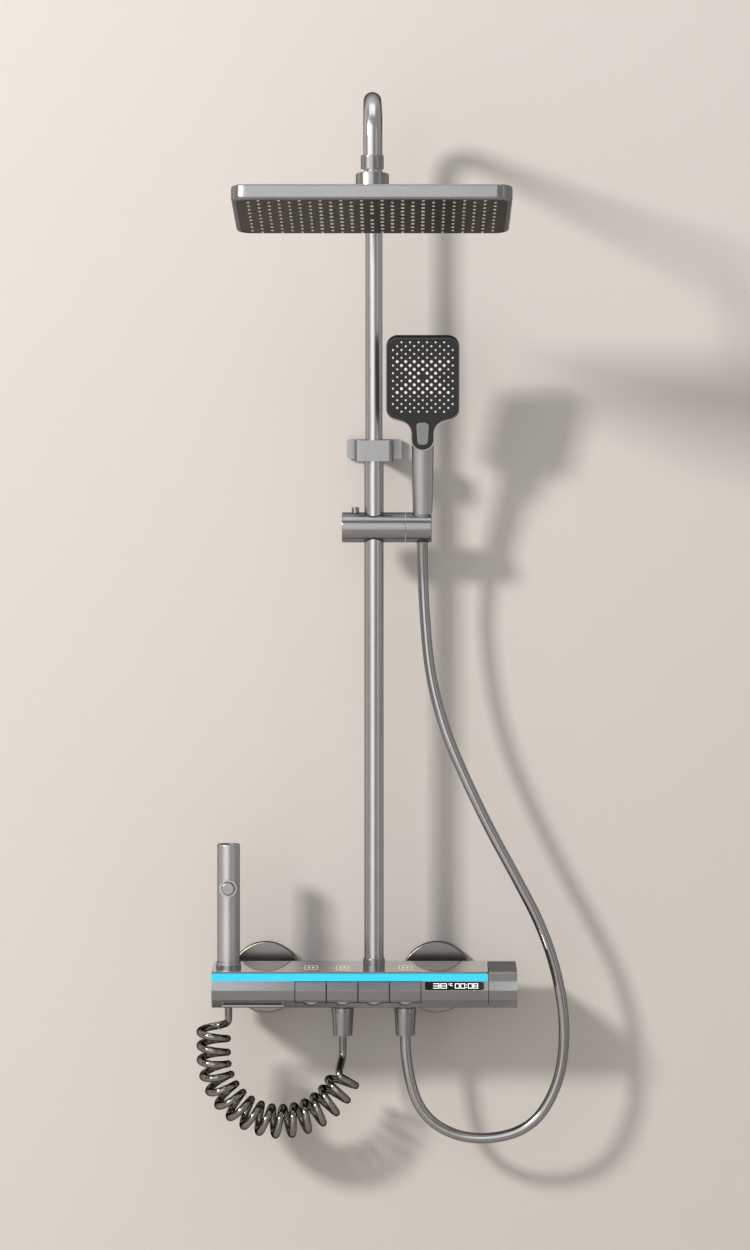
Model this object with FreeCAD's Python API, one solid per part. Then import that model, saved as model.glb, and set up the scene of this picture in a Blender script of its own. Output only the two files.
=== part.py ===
import FreeCAD, Part
import math
import os

# A wall-mounted shower system, in millimetres: X to the right, Y into the wall, Z up.
# The origin is on the wall, midway between the two wall inlets and at their height.
# "out" is a distance from the wall, so a point at "out" has Y = -out.

os.makedirs("parts", exist_ok=True)

# Wall inlets: standard centres at the wall, wider and slightly lower centres at the valve
WALL_PITCH = 150.0
VALVE_PITCH = 200.0
UNION_DROP = 3.2
WALL_THREAD_RADIUS = 10.48
WALL_THREAD_LENGTH = 15.0
WALL_THREAD_BORE = 7.5
UNION_WEB_RADIUS = 12.5
UNION_WEB_FRONT = 7.0
UNION_ROOM_RADIUS = 6.0
UNION_ROOM_WALL = 1.6
UNION_THREAD_RADIUS = 13.1
UNION_BORE = 8.0
UNION_END = 17.0
FLANGE_THICK = 1.5
FLANGE_RADIUS = 12.6
UNION_NUT_RADIUS = 18.5
UNION_NUT_BACK = 10.0
UNION_NUT_FRONT = 24.5
ROSETTE_RADIUS = 41.3
ROSETTE_DEPTH = 9.0
ROSETTE_WALL = 1.8
ROSETTE_FACE = 1.5
ROSETTE_EDGE = 1.2

# Valve body and its front profile
BODY_LEFT = -158.5
BODY_RIGHT = 157.7
BODY_BACK = 46.0
GLASS_OUT = 140.0
GLASS_TOP = 20.7
GLASS_THICK = 2.1
GLASS_CORNER = 2.0
STRIP_BOTTOM = 9.75
STRIP_OUT = 138.0
STRIP_LEAN = 0.6
NOSE_OUT = 146.0
NOSE_Z = 0.0
NOSE_EDGE = 0.6
BROW_OUT = 143.0
BROW_Z = -11.0
BROW_EDGE = 1.5
CHAMFER_OUT = 131.0
BASE_Z = -21.5
BASE_EDGE = 2.0
FRONT_PANEL_BACK = 125.0
FRONT_PANEL_BOTTOM = -14.9
BULKHEAD_BACK = 113.0
BACK_WALL = 10.0
LEFT_WALL = 2.5
RIGHT_WALL = 10.0
COVER_THICK = 2.5
COVER_LEDGE = 7.0
SCREW_SETBACK = 3.4
SCREW_END_SETBACK = 38.0
SCREW_RADIUS = 1.5
SCREW_HEAD_RADIUS = 2.7
SCREW_HEAD_THICK = 1.0
SCREW_SINK = 0.2
SCREW_SLOT_WIDTH = 0.8
SCREW_SLOT_DEPTH = 0.5
SCREW_TIP = -10.0
SEAM = 0.3
FIT = 0.05

# Fascias and display
FASCIA_WALL = 5.0
FASCIA_KEY_WALL = 6.0
FASCIA_ROOM_FRONT = 135.0
FASCIA_ROOM_LOW = -10.5
FASCIA_ROOM_HIGH = 4.0
DISPLAY_LEFT = 85.5
DISPLAY_RIGHT = 152.8
DISPLAY_MARGIN = 0.7
DISPLAY_CORNER = 2.5
DISPLAY_THICK = 1.5
BOARD_THICK = 1.6
BOARD_GAP = 0.5

# Bath spout under the left fascia
SPOUT_LEFT = -147.0
SPOUT_RIGHT = -76.0
SPOUT_FLOOR = -19.6
SPOUT_LIP = 137.0
SPOUT_BACK = 122.0
SPOUT_WALL = 2.0

# Keys
KEY_LEFT = -63.4
KEY_PITCH = 36.1
KEY_COUNT = 4
KEY_BACK = 129.0
KEY_WALL = 3.0
KEY_TOP_GAP = 1.0
KEY_BOTTOM_GAP = 0.9
KEY_POCKET_FRONT = 137.0
KEY_AXLE_OUT = 134.0
KEY_AXLE_Z = 5.8
KEY_AXLE_RADIUS = 1.5
KEY_AXLE_BEARING = 3.1
AXLE_SEAT = 5.0
AXLE_END_GAP = 0.5
PEG_RADIUS = 3.0
PEG_CLEARANCE = 2.0
PEG_Z = -6.0
PEG_END = 120.0
SCOOP_RADIUS = 11.0
SCOOP_RISE = 7.0
SCOOP_BACK = 128.0

# Push valves behind the keys
CARTRIDGE_RADIUS = 7.0
CARTRIDGE_BACK = 90.0
CARTRIDGE_Z = -5.0
CARTRIDGE_STEM_RADIUS = 2.5
CARTRIDGE_STEM_GAP = 2.5

# Temperature handle and mixing cartridge
HANDLE_GAP = 0.7
HANDLE_LENGTH = 32.5
HANDLE_EDGE = 1.5
MIXER_OUT = 85.0
MIXER_Z = -2.0
MIXER_RADIUS = 15.0
MIXER_BACK_WALL = 10.0
SPINDLE_RADIUS = 5.0
SPINDLE_REACH = 17.5
SPINDLE_END_GAP = 0.5

# Water manifold
MANIFOLD_LEFT = -122.0
MANIFOLD_RIGHT = 130.0
MANIFOLD_BACK = 58.0
MANIFOLD_FRONT = 102.0
MANIFOLD_BOTTOM = -12.0
MANIFOLD_TOP = 8.0
MANIFOLD_END_WALL = 8.0
TAIL_RADIUS = 9.8
WATERWAY = 6.5
NARROW_WATERWAY = 5.5
NIPPLE_RADIUS = 9.6
NIPPLE_LENGTH = 28.7

# Water turbine that feeds the light and the display
GENERATOR_OUT = 69.5
GENERATOR_RADIUS = 12.0
GENERATOR_LEFT = -150.0
GENERATOR_WALL = 2.0
GENERATOR_BACK_WALL = 5.0
ROTOR_HUB = 3.0
ROTOR_SHAFT = 1.5
ROTOR_GAP = 0.6
ROTOR_END_GAP = 1.0
BLADE_COUNT = 6
BLADE_THICK = 1.2

# Riser and bracket
RISER_OUT = 80.0
RISER_RADIUS = 11.0
RISER_BORE = 10.05
RISER_COLLAR_RADIUS = 12.4
RISER_COLLAR_HEIGHT = 8.0
RISER_COLLAR_EDGE = 0.8
UPPER_RADIUS = 9.75
UPPER_BORE = 8.3
UPPER_INSERT = 146.0
PLUG_LENGTH = 16.0
PLUG_SPIGOT = 12.0
PLUG_BORE = 6.0
PLUG_GROOVE_LOW = 6.0
PLUG_GROOVE_HIGH = 9.0
PLUG_GROOVE_DEPTH = 1.5
BRACKET_Z = 615.0
BRACKET_HEIGHT = 24.0
BRACKET_WIDTH = 45.0
BRACKET_FRONT = 95.0
BRACKET_BACK = 64.0
BRACKET_BACK_ROUND = 4.0
BRACKET_FRONT_ROUND = 5.0
BRACKET_STEM = 10.0
BRACKET_STEM_SEAT = 3.0
RISER_ABOVE_BRACKET = 1.0
PLATE_WIDTH = 64.0
PLATE_HEIGHT = 23.0
PLATE_CORNER = 3.0
PLATE_BASE = 6.0
PLATE_DEPTH = 11.0
PLATE_STEP_SIDE = 9.0
PLATE_STEP_TOP = 1.5
STUD_BORE_RADIUS = 6.25
STUD_BORE_DEPTH = 30.0
GRUB_OUT = 20.0
GRUB_RADIUS = 2.5
GRUB_GAP = 0.2
GRUB_SOCKET_RADIUS = 1.2
GRUB_SOCKET_DEPTH = 1.5
LOCK_RISE = 6.0
LOCK_SINK = 0.5

# Overhead arm and rain head
ARM_Z = 1004.0
ARM_BEND = 40.0
ARM_REACH = 335.0
ARM_END_Z = 931.0
ARM_COLLAR_RADIUS = 12.5
ARM_COLLAR_BOTTOM = 928.0
ARM_COLLAR_TOP = 943.0
ARM_COLLAR_EDGE = 1.0
BALL_Z = 910.0
BALL_RADIUS = 14.0
BALL_WATERWAY = 5.0
STEM_RADIUS = 9.0
SEAT_OUTER = 15.6
SEAT_LOW = -9.0
SEAT_HIGH = 6.0
BALL_GAP = 0.3
HEAD_WIDTH = 300.0
HEAD_DEPTH = 200.0
HEAD_RIM = 16.5
HEAD_DROP = 34.3
HEAD_CORNER = 17.0
HEAD_WALL = 5.5
HEAD_TOP_WALL = 2.5
HEAD_TOP_EDGE = 2.0
HEAD_LIP_ROUND = 3.5
HEAD_BOSS_RADIUS = 30.0
HEAD_INLET = 6.0
HEAD_TILT = 9.4
HEAD_NUT_RADIUS = 18.0
HEAD_NUT_TOP = 12.5
HEAD_NUT_BOTTOM = -8.0
HEAD_NUT_EDGE = 1.0
HEAD_NUT_MOUTH = 13.2
NOZZLE_STEP_X = 11.0
NOZZLE_STEP_Y = 10.0
NOZZLE_EDGE = 10.0
NOZZLE_WIDE_RADIUS = 2.0
NOZZLE_RADIUS = 1.5
NOZZLE_PROUD = 1.0
WIDE_COLUMN_COUNT = 5
WIDE_ROW_COUNT = 7
PLATE_INSET = 0.5
PLATE_THICK = 2.5
MAT_THICK = 2.0
MAT_GAP = 0.5

# Slider and handset
SLIDER_DROP = 88.7
SLIDER_RADIUS = 17.35
SLIDER_LEFT = -10.1
SLIDER_RIGHT = 63.1
SLIDER_EDGE = 1.0
BUSH_RADIUS = 13.0
PIVOT_RADIUS = 6.0
PIVOT_INSERT = 18.1
PIVOT_REACH = 7.4
HOLDER_GAP = 0.4
HOLDER_RIGHT = 93.5
HOLDER_SLOT = 13.5
RELEASE_X = 5.4
RELEASE_RADIUS = 4.4
RELEASE_FOOT = 9.5
RELEASE_WELL = 6.0
RELEASE_PROUD = 6.0
HANDSET_X = 83.0
HANDSET_LEAN = 12.0
CONE_BOTTOM = -17.5
CONE_TOP = 18.0
CONE_BOTTOM_RADIUS = 8.3
CONE_TOP_RADIUS = 10.6
CONE_FLOOR = 10.0
HANDLE_FOOT_RADIUS = 11.25
HANDLE_TOP_RADIUS = 13.1
HANDLE_TOP_DROP = 13.1
HANDLE_WATERWAY_DROP = 20.0
FACE_MIDDLE = 181.2
FACE_ABOVE = 45.8
FACE_BELOW = 47.3
THROAT_DROP = 8.8
THROAT_ROUND = 15.0
TONGUE_DROP = 30.6
HANDSET_CORNER = 13.0
FACE_HALF = 41.8
NECK_HALF = 13.7
SHELL_BACK = -4.0
SHELL_FRONT = 15.5
SHELL_BACK_ROUND = 4.0
FACE_THICK = 3.0
FACE_INSET = 1.6
LATTICE_X = 4.88
LATTICE_Z = 4.52
LATTICE_EDGE = 5.0
LATTICE_CORNER_COUNT = 2
LATTICE_WIDE_ROW_COUNT = 4
SPRAY_RADIUS = 1.0
SPRAY_WIDE_RADIUS = 1.6
SPRAY_PROUD = 0.8
SPRAY_MAT_MARGIN = 2.5
SPRAY_MAT_CORNER = 6.0
BUTTON_RISE = 2.6
BUTTON_HEIGHT = 26.0
BUTTON_LOW_HALF = 6.0
BUTTON_HIGH_HALF = 7.6
BUTTON_CORNER = 4.5
BUTTON_GAP = 0.4
BUTTON_DEPTH = 6.0
BUTTON_TRAVEL = 2.0
BUTTON_PROUD = 1.5
BUTTON_EDGE = 0.8

# Hand spray standing in the valve
GUN_X = -140.5
GUN_OUT = 98.0
GUN_RADIUS = 13.0
GUN_TAIL_RADIUS = 11.0
GUN_TOP = 162.4
GUN_TOP_EDGE = 1.2
GUN_FOOT_HEIGHT = 3.2
GUN_FLANGE_RADIUS = 13.9
GUN_WAIST_RADIUS = 12.2
GUN_WAIST_HEIGHT = 0.8
GUN_TAIL_BOTTOM = -25.0
GUN_FERRULE_HEIGHT = 6.0
GUN_FERRULE_RADIUS = 7.5
GUN_WATERWAY = 5.0
GUN_BUTTON_Z = 112.6
GUN_BUTTON_RADIUS = 7.6
GUN_BUTTON_ROOT = 4.0
GUN_BUTTON_PROUD = 6.0
GUN_BUTTON_EDGE = 1.5
GUN_RING_RADIUS = 9.9
GUN_RING_ROOT = 6.0
GUN_RING_PROUD = 1.5
GUN_MOUTH_DEPTH = 6.0
GUN_MOUTH_WALL = 2.5
GUN_NOZZLE_SINK = 1.5
GUN_JET_RADIUS = 0.7
GUN_JET_CIRCLE = 6.0
GUN_JET_COUNT = 8
SOCKET_RADIUS = 13.4
SOCKET_BORE = 11.3
SOCKET_FLANGE_RADIUS = 14.3
SOCKET_FLANGE_HEIGHT = 3.0

# Hoses
OUTLET_OUT = 72.0
NUT_TOP = -29.5
NUT_FLANGE = -34.7
NUT_BOTTOM = -61.4
NUT_FLANGE_RADIUS = 12.7
NUT_CONE_TOP_RADIUS = 12.25
NUT_CONE_BOTTOM_RADIUS = 11.0
NUT_THREAD_DEPTH = 12.2
HOSE_RADIUS = 6.0
HOSE_TOP_RUN = 34.0
LOWER_POINT_COUNT = 14
COIL_WIRE_RADIUS = 4.25
COIL_RADIUS = 15.85
COIL_TURNS = 16
COIL_SPINE_X = -157.7
COIL_SPINE_TOP = -46.0
COIL_BEND = 77.7
COIL_BEND_Z = -82.0
COIL_SWEEP = 162.0
LEFT_LEAD_BOTTOM = -34.0
RIGHT_LEAD_BOTTOM = -78.0

UP = FreeCAD.Vector(0, 0, 1)
DOWN = FreeCAD.Vector(0, 0, -1)
RIGHT = FreeCAD.Vector(1, 0, 0)
FRONT = FreeCAD.Vector(0, -1, 0)


def key_centre(number):
    """X of the middle of a key, counted from the left."""
    return KEY_LEFT + (number + 0.5) * KEY_PITCH


RISER_X = key_centre(2)
BIDET_X = key_centre(1)
HAND_X = key_centre(3)
ARM_OUT = RISER_OUT + ARM_REACH
RISER_TOP = BRACKET_Z + RISER_ABOVE_BRACKET
UPPER_FOOT = RISER_TOP - UPPER_INSERT
LOCK_Z = BRACKET_Z + LOCK_RISE
SLIDER_Z = BRACKET_Z - SLIDER_DROP
HANDSET_TOP = FACE_MIDDLE + FACE_ABOVE
SHOULDER_Z = FACE_MIDDLE - FACE_BELOW
THROAT_Z = SHOULDER_Z - THROAT_DROP
TONGUE_Z = THROAT_Z - TONGUE_DROP
HANDLE_TOP_Z = THROAT_Z - HANDLE_TOP_DROP
HANDLE_WATERWAY_TOP = HANDLE_TOP_Z - HANDLE_WATERWAY_DROP
BUTTON_HIGH = THROAT_Z + BUTTON_RISE
BUTTON_LOW = BUTTON_HIGH - BUTTON_HEIGHT
LATTICE_COLUMNS = int((FACE_HALF - LATTICE_EDGE) / LATTICE_X)
LATTICE_ROWS = int((FACE_ABOVE - LATTICE_EDGE) / LATTICE_Z)
PIVOT_LEFT = SLIDER_RIGHT - PIVOT_INSERT
PIVOT_RIGHT = SLIDER_RIGHT + PIVOT_REACH
GLASS_BOTTOM = GLASS_TOP - GLASS_THICK
GUN_FOOT = GLASS_TOP + SOCKET_FLANGE_HEIGHT
INLET_Z = -UNION_DROP


def point(x, out, z):
    return FreeCAD.Vector(x, -out, z)


def block(x0, x1, out0, out1, z0, z1):
    return Part.makeBox(x1 - x0, out1 - out0, z1 - z0, point(x0, out1, z0))


def rod_x(x0, x1, out, z, radius):
    return Part.makeCylinder(radius, x1 - x0, point(x0, out, z), RIGHT)


def rod_out(x, out0, out1, z, radius):
    return Part.makeCylinder(radius, out1 - out0, point(x, out0, z), FRONT)


def rod_z(x, out, z0, z1, radius):
    return Part.makeCylinder(radius, z1 - z0, point(x, out, z0), UP)


def cone_z(x, out, z0, z1, radius0, radius1):
    return Part.makeCone(radius0, radius1, z1 - z0, point(x, out, z0), UP)


def tube_z(x, out, z0, z1, outer, inner):
    return rod_z(x, out, z0, z1, outer).cut(rod_z(x, out, z0 - 1, z1 + 1, inner))


def together(shapes):
    """One solid from overlapping or touching shapes."""
    joined = shapes[0].multiFuse(shapes[1:])
    return joined.removeSplitter()


def without(shape, cutters):
    return shape.cut(Part.makeCompound(cutters))


def rounded_corner(before, here, after):
    """Start, middle and end of the arc that rounds one corner (u, v, radius)."""
    corner = FreeCAD.Vector(here[0], here[1], 0)
    radius = here[2]
    if radius == 0:
        return corner, None, corner
    to_before = (FreeCAD.Vector(before[0], before[1], 0) - corner).normalize()
    to_after = (FreeCAD.Vector(after[0], after[1], 0) - corner).normalize()
    half = to_before.getAngle(to_after) / 2
    to_centre = (to_before + to_after).normalize()
    reach = radius / math.tan(half)
    middle = corner + to_centre * (radius / math.sin(half) - radius)
    return corner + to_before * reach, middle, corner + to_after * reach


def outline(corners, place):
    """A closed wire with straight sides and rounded corners; place turns (u, v) into a point."""
    count = len(corners)
    bends = []
    for i in range(count):
        bends.append(rounded_corner(corners[i - 1], corners[i], corners[(i + 1) % count]))
    edges = []
    for i in range(count):
        start, middle, end = [p and place(p.x, p.y) for p in bends[i]]
        if middle:
            edges.append(Part.Arc(start, middle, end).toShape())
        following = bends[(i + 1) % count][0]
        edges.append(Part.LineSegment(end, place(following.x, following.y)).toShape())
    return Part.Wire(edges)


def side_prism(corners, x0, x1):
    """A profile of (out, z, radius) corners carried along X."""
    wire = outline(corners, lambda out, z: point(x0, out, z))
    return Part.Face(wire).extrude(RIGHT * (x1 - x0))


def front_prism(corners, out0, out1):
    """A front outline of (x, z, radius) corners carried away from the wall."""
    wire = outline(corners, lambda x, z: point(x, out0, z))
    return Part.Face(wire).extrude(FRONT * (out1 - out0))


def plan_wire(width, depth, radius, x, out, z):
    """A rounded rectangle lying flat, centred on (x, out)."""
    corners = rectangle(width, depth, radius)
    return outline(corners, lambda u, v: point(x + u, out + v, z))


def rectangle(width, height, radius):
    w = width / 2
    h = height / 2
    return [(-w, -h, radius), (w, -h, radius), (w, h, radius), (-w, h, radius)]


def circle_z(x, out, z, radius):
    return Part.Wire(Part.makeCircle(radius, point(x, out, z), UP))


def holed_plate(outer, holes, direction):
    face = Part.makeFace([outer] + holes, "Part::FaceMakerBullseye")
    return face.extrude(direction)


def soften(shape, radius, chosen):
    """Round the edges that the chosen function picks."""
    return shape.makeFillet(radius, [e for e in shape.Edges if chosen(e)])


def runs_along(edge, direction):
    if not isinstance(edge.Curve, Part.Line):
        return False
    return abs(edge.Curve.Direction.dot(direction)) > 0.999


# Valve body

def chamfer_out(z):
    """How far out the lower chamfer stands at a height."""
    return BROW_OUT + (CHAMFER_OUT - BROW_OUT) * (BROW_Z - z) / (BROW_Z - BASE_Z)


def slope_out(z):
    """How far out the slanted upper face stands at a height."""
    return NOSE_OUT + (STRIP_OUT - NOSE_OUT) * (z - NOSE_Z) / (STRIP_BOTTOM - NOSE_Z)


def front_profile(back, top, bottom):
    """Profile of the keys and fascias between two heights."""
    return [(back, top, 0), (slope_out(top), top, 0), (NOSE_OUT, NOSE_Z, NOSE_EDGE),
            (BROW_OUT, BROW_Z, BROW_EDGE), (chamfer_out(bottom), bottom, 0), (back, bottom, 0)]


def screw_places():
    places = []
    ends = (BODY_LEFT + SCREW_END_SETBACK, KEY_LEFT + KEY_PITCH, BODY_RIGHT - SCREW_END_SETBACK)
    for x in ends:
        places.append((x, BODY_BACK + BACK_WALL - SCREW_SETBACK))
        places.append((x, BULKHEAD_BACK + SCREW_SETBACK))
    return places


def valve_housing():
    profile = [(BODY_BACK, GLASS_BOTTOM, 0), (FRONT_PANEL_BACK, GLASS_BOTTOM, 0),
               (FRONT_PANEL_BACK, FRONT_PANEL_BOTTOM, 0),
               (chamfer_out(FRONT_PANEL_BOTTOM), FRONT_PANEL_BOTTOM, 0),
               (CHAMFER_OUT, BASE_Z, BASE_EDGE), (BODY_BACK, BASE_Z, BASE_EDGE)]
    shell = side_prism(profile, BODY_LEFT, BODY_RIGHT)
    inner_left = BODY_LEFT + LEFT_WALL
    inner_right = BODY_RIGHT - RIGHT_WALL
    ledge = BASE_Z + COVER_THICK
    cutters = [block(inner_left, inner_right, BODY_BACK + BACK_WALL, BULKHEAD_BACK, ledge - 1, GLASS_TOP),
               block(inner_left, inner_right, BODY_BACK + BACK_WALL - COVER_LEDGE,
                     BULKHEAD_BACK + COVER_LEDGE, BASE_Z - 1, ledge),
               rod_x(inner_right - 1, BODY_RIGHT + 1, MIXER_OUT, MIXER_Z, MIXER_RADIUS + FIT)]
    for side in (-1, 1):
        cutters.append(rod_out(side * VALVE_PITCH / 2, BODY_BACK - 1, BODY_BACK + BACK_WALL + 1, INLET_Z,
                               TAIL_RADIUS + SEAM))
    for number in range(KEY_COUNT):
        x = key_centre(number)
        cutters.append(rod_out(x, BULKHEAD_BACK - 1, FRONT_PANEL_BACK + 1, PEG_Z, PEG_RADIUS + PEG_CLEARANCE))
        cutters.append(finger_scoop(x))
    for x, out in screw_places():
        cutters.append(rod_z(x, out, ledge - 1, SCREW_TIP + SEAM, SCREW_RADIUS + FIT))
    cutters.append(spout_room())
    return without(shell, cutters)


def finger_scoop(x):
    """The lens-shaped hollow under a key."""
    return rod_out(x, SCOOP_BACK, NOSE_OUT, FRONT_PANEL_BOTTOM + SCOOP_RISE, SCOOP_RADIUS)


def spout_room():
    return block(SPOUT_LEFT - SEAM, SPOUT_RIGHT + SEAM, SPOUT_BACK, NOSE_OUT,
                 SPOUT_FLOOR - SEAM, FRONT_PANEL_BOTTOM)


def bath_spout():
    """A flat channel with a lip, from which the water falls as a sheet."""
    top = FRONT_PANEL_BOTTOM
    channel = block(SPOUT_LEFT, SPOUT_RIGHT, SPOUT_BACK + SEAM, SPOUT_LIP, SPOUT_FLOOR, top)
    floor = SPOUT_FLOOR + SPOUT_WALL
    mouth = block(SPOUT_LEFT + SPOUT_WALL, SPOUT_RIGHT - SPOUT_WALL, SPOUT_BACK + SPOUT_WALL, SPOUT_LIP + 1,
                  floor, top + 1)
    channel = channel.cut(mouth)
    slope = side_prism([(chamfer_out(top), top + 1, 0), (SPOUT_LIP + 1, top + 1, 0),
                        (SPOUT_LIP + 1, floor, 0), (SPOUT_LIP - 1, floor, 0)],
                       SPOUT_LEFT - 1, SPOUT_RIGHT + 1)
    return channel.cut(slope)


def top_glass():
    plate = block(BODY_LEFT, BODY_RIGHT, BODY_BACK, GLASS_OUT, GLASS_BOTTOM, GLASS_TOP)
    plate = soften(plate, GLASS_CORNER, lambda e: runs_along(e, UP))
    holes = [rod_z(RISER_X, RISER_OUT, GLASS_BOTTOM - 1, GLASS_TOP + 1, RISER_RADIUS + SEAM),
             rod_z(GUN_X, GUN_OUT, GLASS_BOTTOM - 1, GLASS_TOP + 1, SOCKET_RADIUS + SEAM)]
    return without(plate, holes)


def light_strip():
    profile = [(FRONT_PANEL_BACK, GLASS_BOTTOM, 0), (STRIP_OUT + STRIP_LEAN, GLASS_BOTTOM, 0),
               (STRIP_OUT, STRIP_BOTTOM, 0), (FRONT_PANEL_BACK, STRIP_BOTTOM, 0)]
    return side_prism(profile, BODY_LEFT, BODY_RIGHT)


def fascia_room(x0, x1):
    """The hollow behind a fascia."""
    return block(x0, x1, FRONT_PANEL_BACK - 1, FASCIA_ROOM_FRONT, FASCIA_ROOM_LOW, FASCIA_ROOM_HIGH)


def fascia_left():
    panel = side_prism(front_profile(FRONT_PANEL_BACK, STRIP_BOTTOM, FRONT_PANEL_BOTTOM),
                       BODY_LEFT, KEY_LEFT - SEAM)
    hollow = fascia_room(BODY_LEFT + FASCIA_WALL, KEY_LEFT - SEAM - FASCIA_KEY_WALL)
    axle = rod_x(KEY_LEFT - AXLE_SEAT, KEY_LEFT, KEY_AXLE_OUT, KEY_AXLE_Z, KEY_AXLE_RADIUS + FIT)
    return without(panel, [hollow, axle])


def display_block(grow):
    """The rounded display window set square into the slanted face; grow leaves a gap around it."""
    bottom = NOSE_Z + DISPLAY_MARGIN
    top = STRIP_BOTTOM - DISPLAY_MARGIN
    low = FreeCAD.Vector(slope_out(bottom), bottom, 0)
    high = FreeCAD.Vector(slope_out(top), top, 0)
    rise = (high - low).normalize()
    width = DISPLAY_RIGHT - DISPLAY_LEFT + 2 * grow
    height = (high - low).Length + 2 * grow
    centre = (high + low) * 0.5
    middle_x = (DISPLAY_LEFT + DISPLAY_RIGHT) / 2
    inward = point(0, -rise.y, rise.x)
    corners = rectangle(width, height, DISPLAY_CORNER)
    wire = outline(corners, lambda u, v: point(middle_x + u, centre.x + rise.x * v, centre.y + rise.y * v))
    return Part.Face(wire).extrude(inward * DISPLAY_THICK)


def fascia_display_left():
    return KEY_LEFT + KEY_COUNT * KEY_PITCH + SEAM


def fascia_display():
    left = fascia_display_left()
    panel = side_prism(front_profile(FRONT_PANEL_BACK, STRIP_BOTTOM, FRONT_PANEL_BOTTOM), left, BODY_RIGHT)
    hollow = fascia_room(left + FASCIA_KEY_WALL, BODY_RIGHT - FASCIA_WALL)
    axle = rod_x(left - 1, left + AXLE_SEAT - SEAM, KEY_AXLE_OUT, KEY_AXLE_Z, KEY_AXLE_RADIUS + FIT)
    return without(panel, [hollow, axle, display_block(FIT)])


def display_board():
    left = fascia_display_left() + FASCIA_KEY_WALL + BOARD_GAP
    front = FASCIA_ROOM_FRONT - BOARD_GAP
    return block(left, BODY_RIGHT - FASCIA_WALL - BOARD_GAP, front - BOARD_THICK, front,
                 FASCIA_ROOM_LOW + BOARD_GAP, FASCIA_ROOM_HIGH - BOARD_GAP)


def key(number):
    left = KEY_LEFT + number * KEY_PITCH + SEAM
    right = left + KEY_PITCH - 2 * SEAM
    bottom = FRONT_PANEL_BOTTOM + KEY_BOTTOM_GAP
    cap = side_prism(front_profile(KEY_BACK, STRIP_BOTTOM - KEY_TOP_GAP, bottom), left, right)
    pocket = block(left + KEY_WALL, right - KEY_WALL, KEY_BACK - 1, KEY_POCKET_FRONT,
                   BROW_Z, KEY_AXLE_Z - KEY_AXLE_BEARING)
    axle = rod_x(left - 1, right + 1, KEY_AXLE_OUT, KEY_AXLE_Z, KEY_AXLE_RADIUS + FIT)
    cap = without(cap, [pocket, axle])
    return together([cap, rod_out(key_centre(number), PEG_END, KEY_POCKET_FRONT + 1, PEG_Z, PEG_RADIUS)])


def key_axle():
    right = KEY_LEFT + KEY_COUNT * KEY_PITCH
    reach = AXLE_SEAT - AXLE_END_GAP
    return rod_x(KEY_LEFT - reach, right + reach, KEY_AXLE_OUT, KEY_AXLE_Z, KEY_AXLE_RADIUS)


def bottom_cover():
    plate = block(BODY_LEFT + LEFT_WALL + SEAM, BODY_RIGHT - RIGHT_WALL - SEAM,
                  BODY_BACK + BACK_WALL - COVER_LEDGE + SEAM, BULKHEAD_BACK + COVER_LEDGE - SEAM,
                  BASE_Z, BASE_Z + COVER_THICK)
    low = BASE_Z - 1
    high = BASE_Z + COVER_THICK + 1
    holes = [rod_z(GUN_X, GUN_OUT, low, high, SOCKET_RADIUS + SEAM)]
    for x in (BIDET_X, HAND_X):
        holes.append(rod_z(x, OUTLET_OUT, low, high, NIPPLE_RADIUS + SEAM))
    for x, out in screw_places():
        holes.append(rod_z(x, out, low, high, SCREW_RADIUS + SEAM))
        holes.append(rod_z(x, out, low, BASE_Z + SCREW_SINK + SCREW_HEAD_THICK, SCREW_HEAD_RADIUS + SEAM))
    return without(plate, holes)


def cover_screws():
    screws = []
    for x, out in screw_places():
        low = BASE_Z + SCREW_SINK
        head = rod_z(x, out, low, low + SCREW_HEAD_THICK, SCREW_HEAD_RADIUS)
        shank = rod_z(x, out, low + SCREW_HEAD_THICK, SCREW_TIP, SCREW_RADIUS)
        slot = block(x - SCREW_SLOT_WIDTH / 2, x + SCREW_SLOT_WIDTH / 2, out - SCREW_HEAD_RADIUS,
                     out + SCREW_HEAD_RADIUS, low - 1, low + SCREW_SLOT_DEPTH)
        screws.append(together([head, shank]).cut(slot))
    return Part.makeCompound(screws)


# Water inside the valve


def water_manifold():
    body = block(MANIFOLD_LEFT, MANIFOLD_RIGHT, MANIFOLD_BACK, MANIFOLD_FRONT, MANIFOLD_BOTTOM, MANIFOLD_TOP)
    pieces = [body]
    cutters = [rod_x(MANIFOLD_LEFT - 1, MANIFOLD_RIGHT - MANIFOLD_END_WALL, OUTLET_OUT, MIXER_Z, WATERWAY)]
    for side in (-1, 1):
        x = side * VALVE_PITCH / 2
        pieces.append(rod_out(x, UNION_END, UNION_END + FLANGE_THICK, INLET_Z, FLANGE_RADIUS))
        pieces.append(rod_out(x, UNION_END, MANIFOLD_BACK + 1, INLET_Z, TAIL_RADIUS))
        cutters.append(rod_out(x, UNION_END - 1, OUTLET_OUT, INLET_Z, WATERWAY))
    for number in range(KEY_COUNT):
        cutters.append(rod_out(key_centre(number), CARTRIDGE_BACK, MANIFOLD_FRONT + 1, CARTRIDGE_Z,
                               CARTRIDGE_RADIUS + FIT))
    cutters.append(rod_z(RISER_X, RISER_OUT, MIXER_Z, MANIFOLD_TOP + 1, WATERWAY))
    for x in (BIDET_X, HAND_X):
        cutters.append(rod_z(x, OUTLET_OUT, MANIFOLD_BOTTOM - 1, MIXER_Z, WATERWAY))
    return without(together(pieces), cutters)


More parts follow.
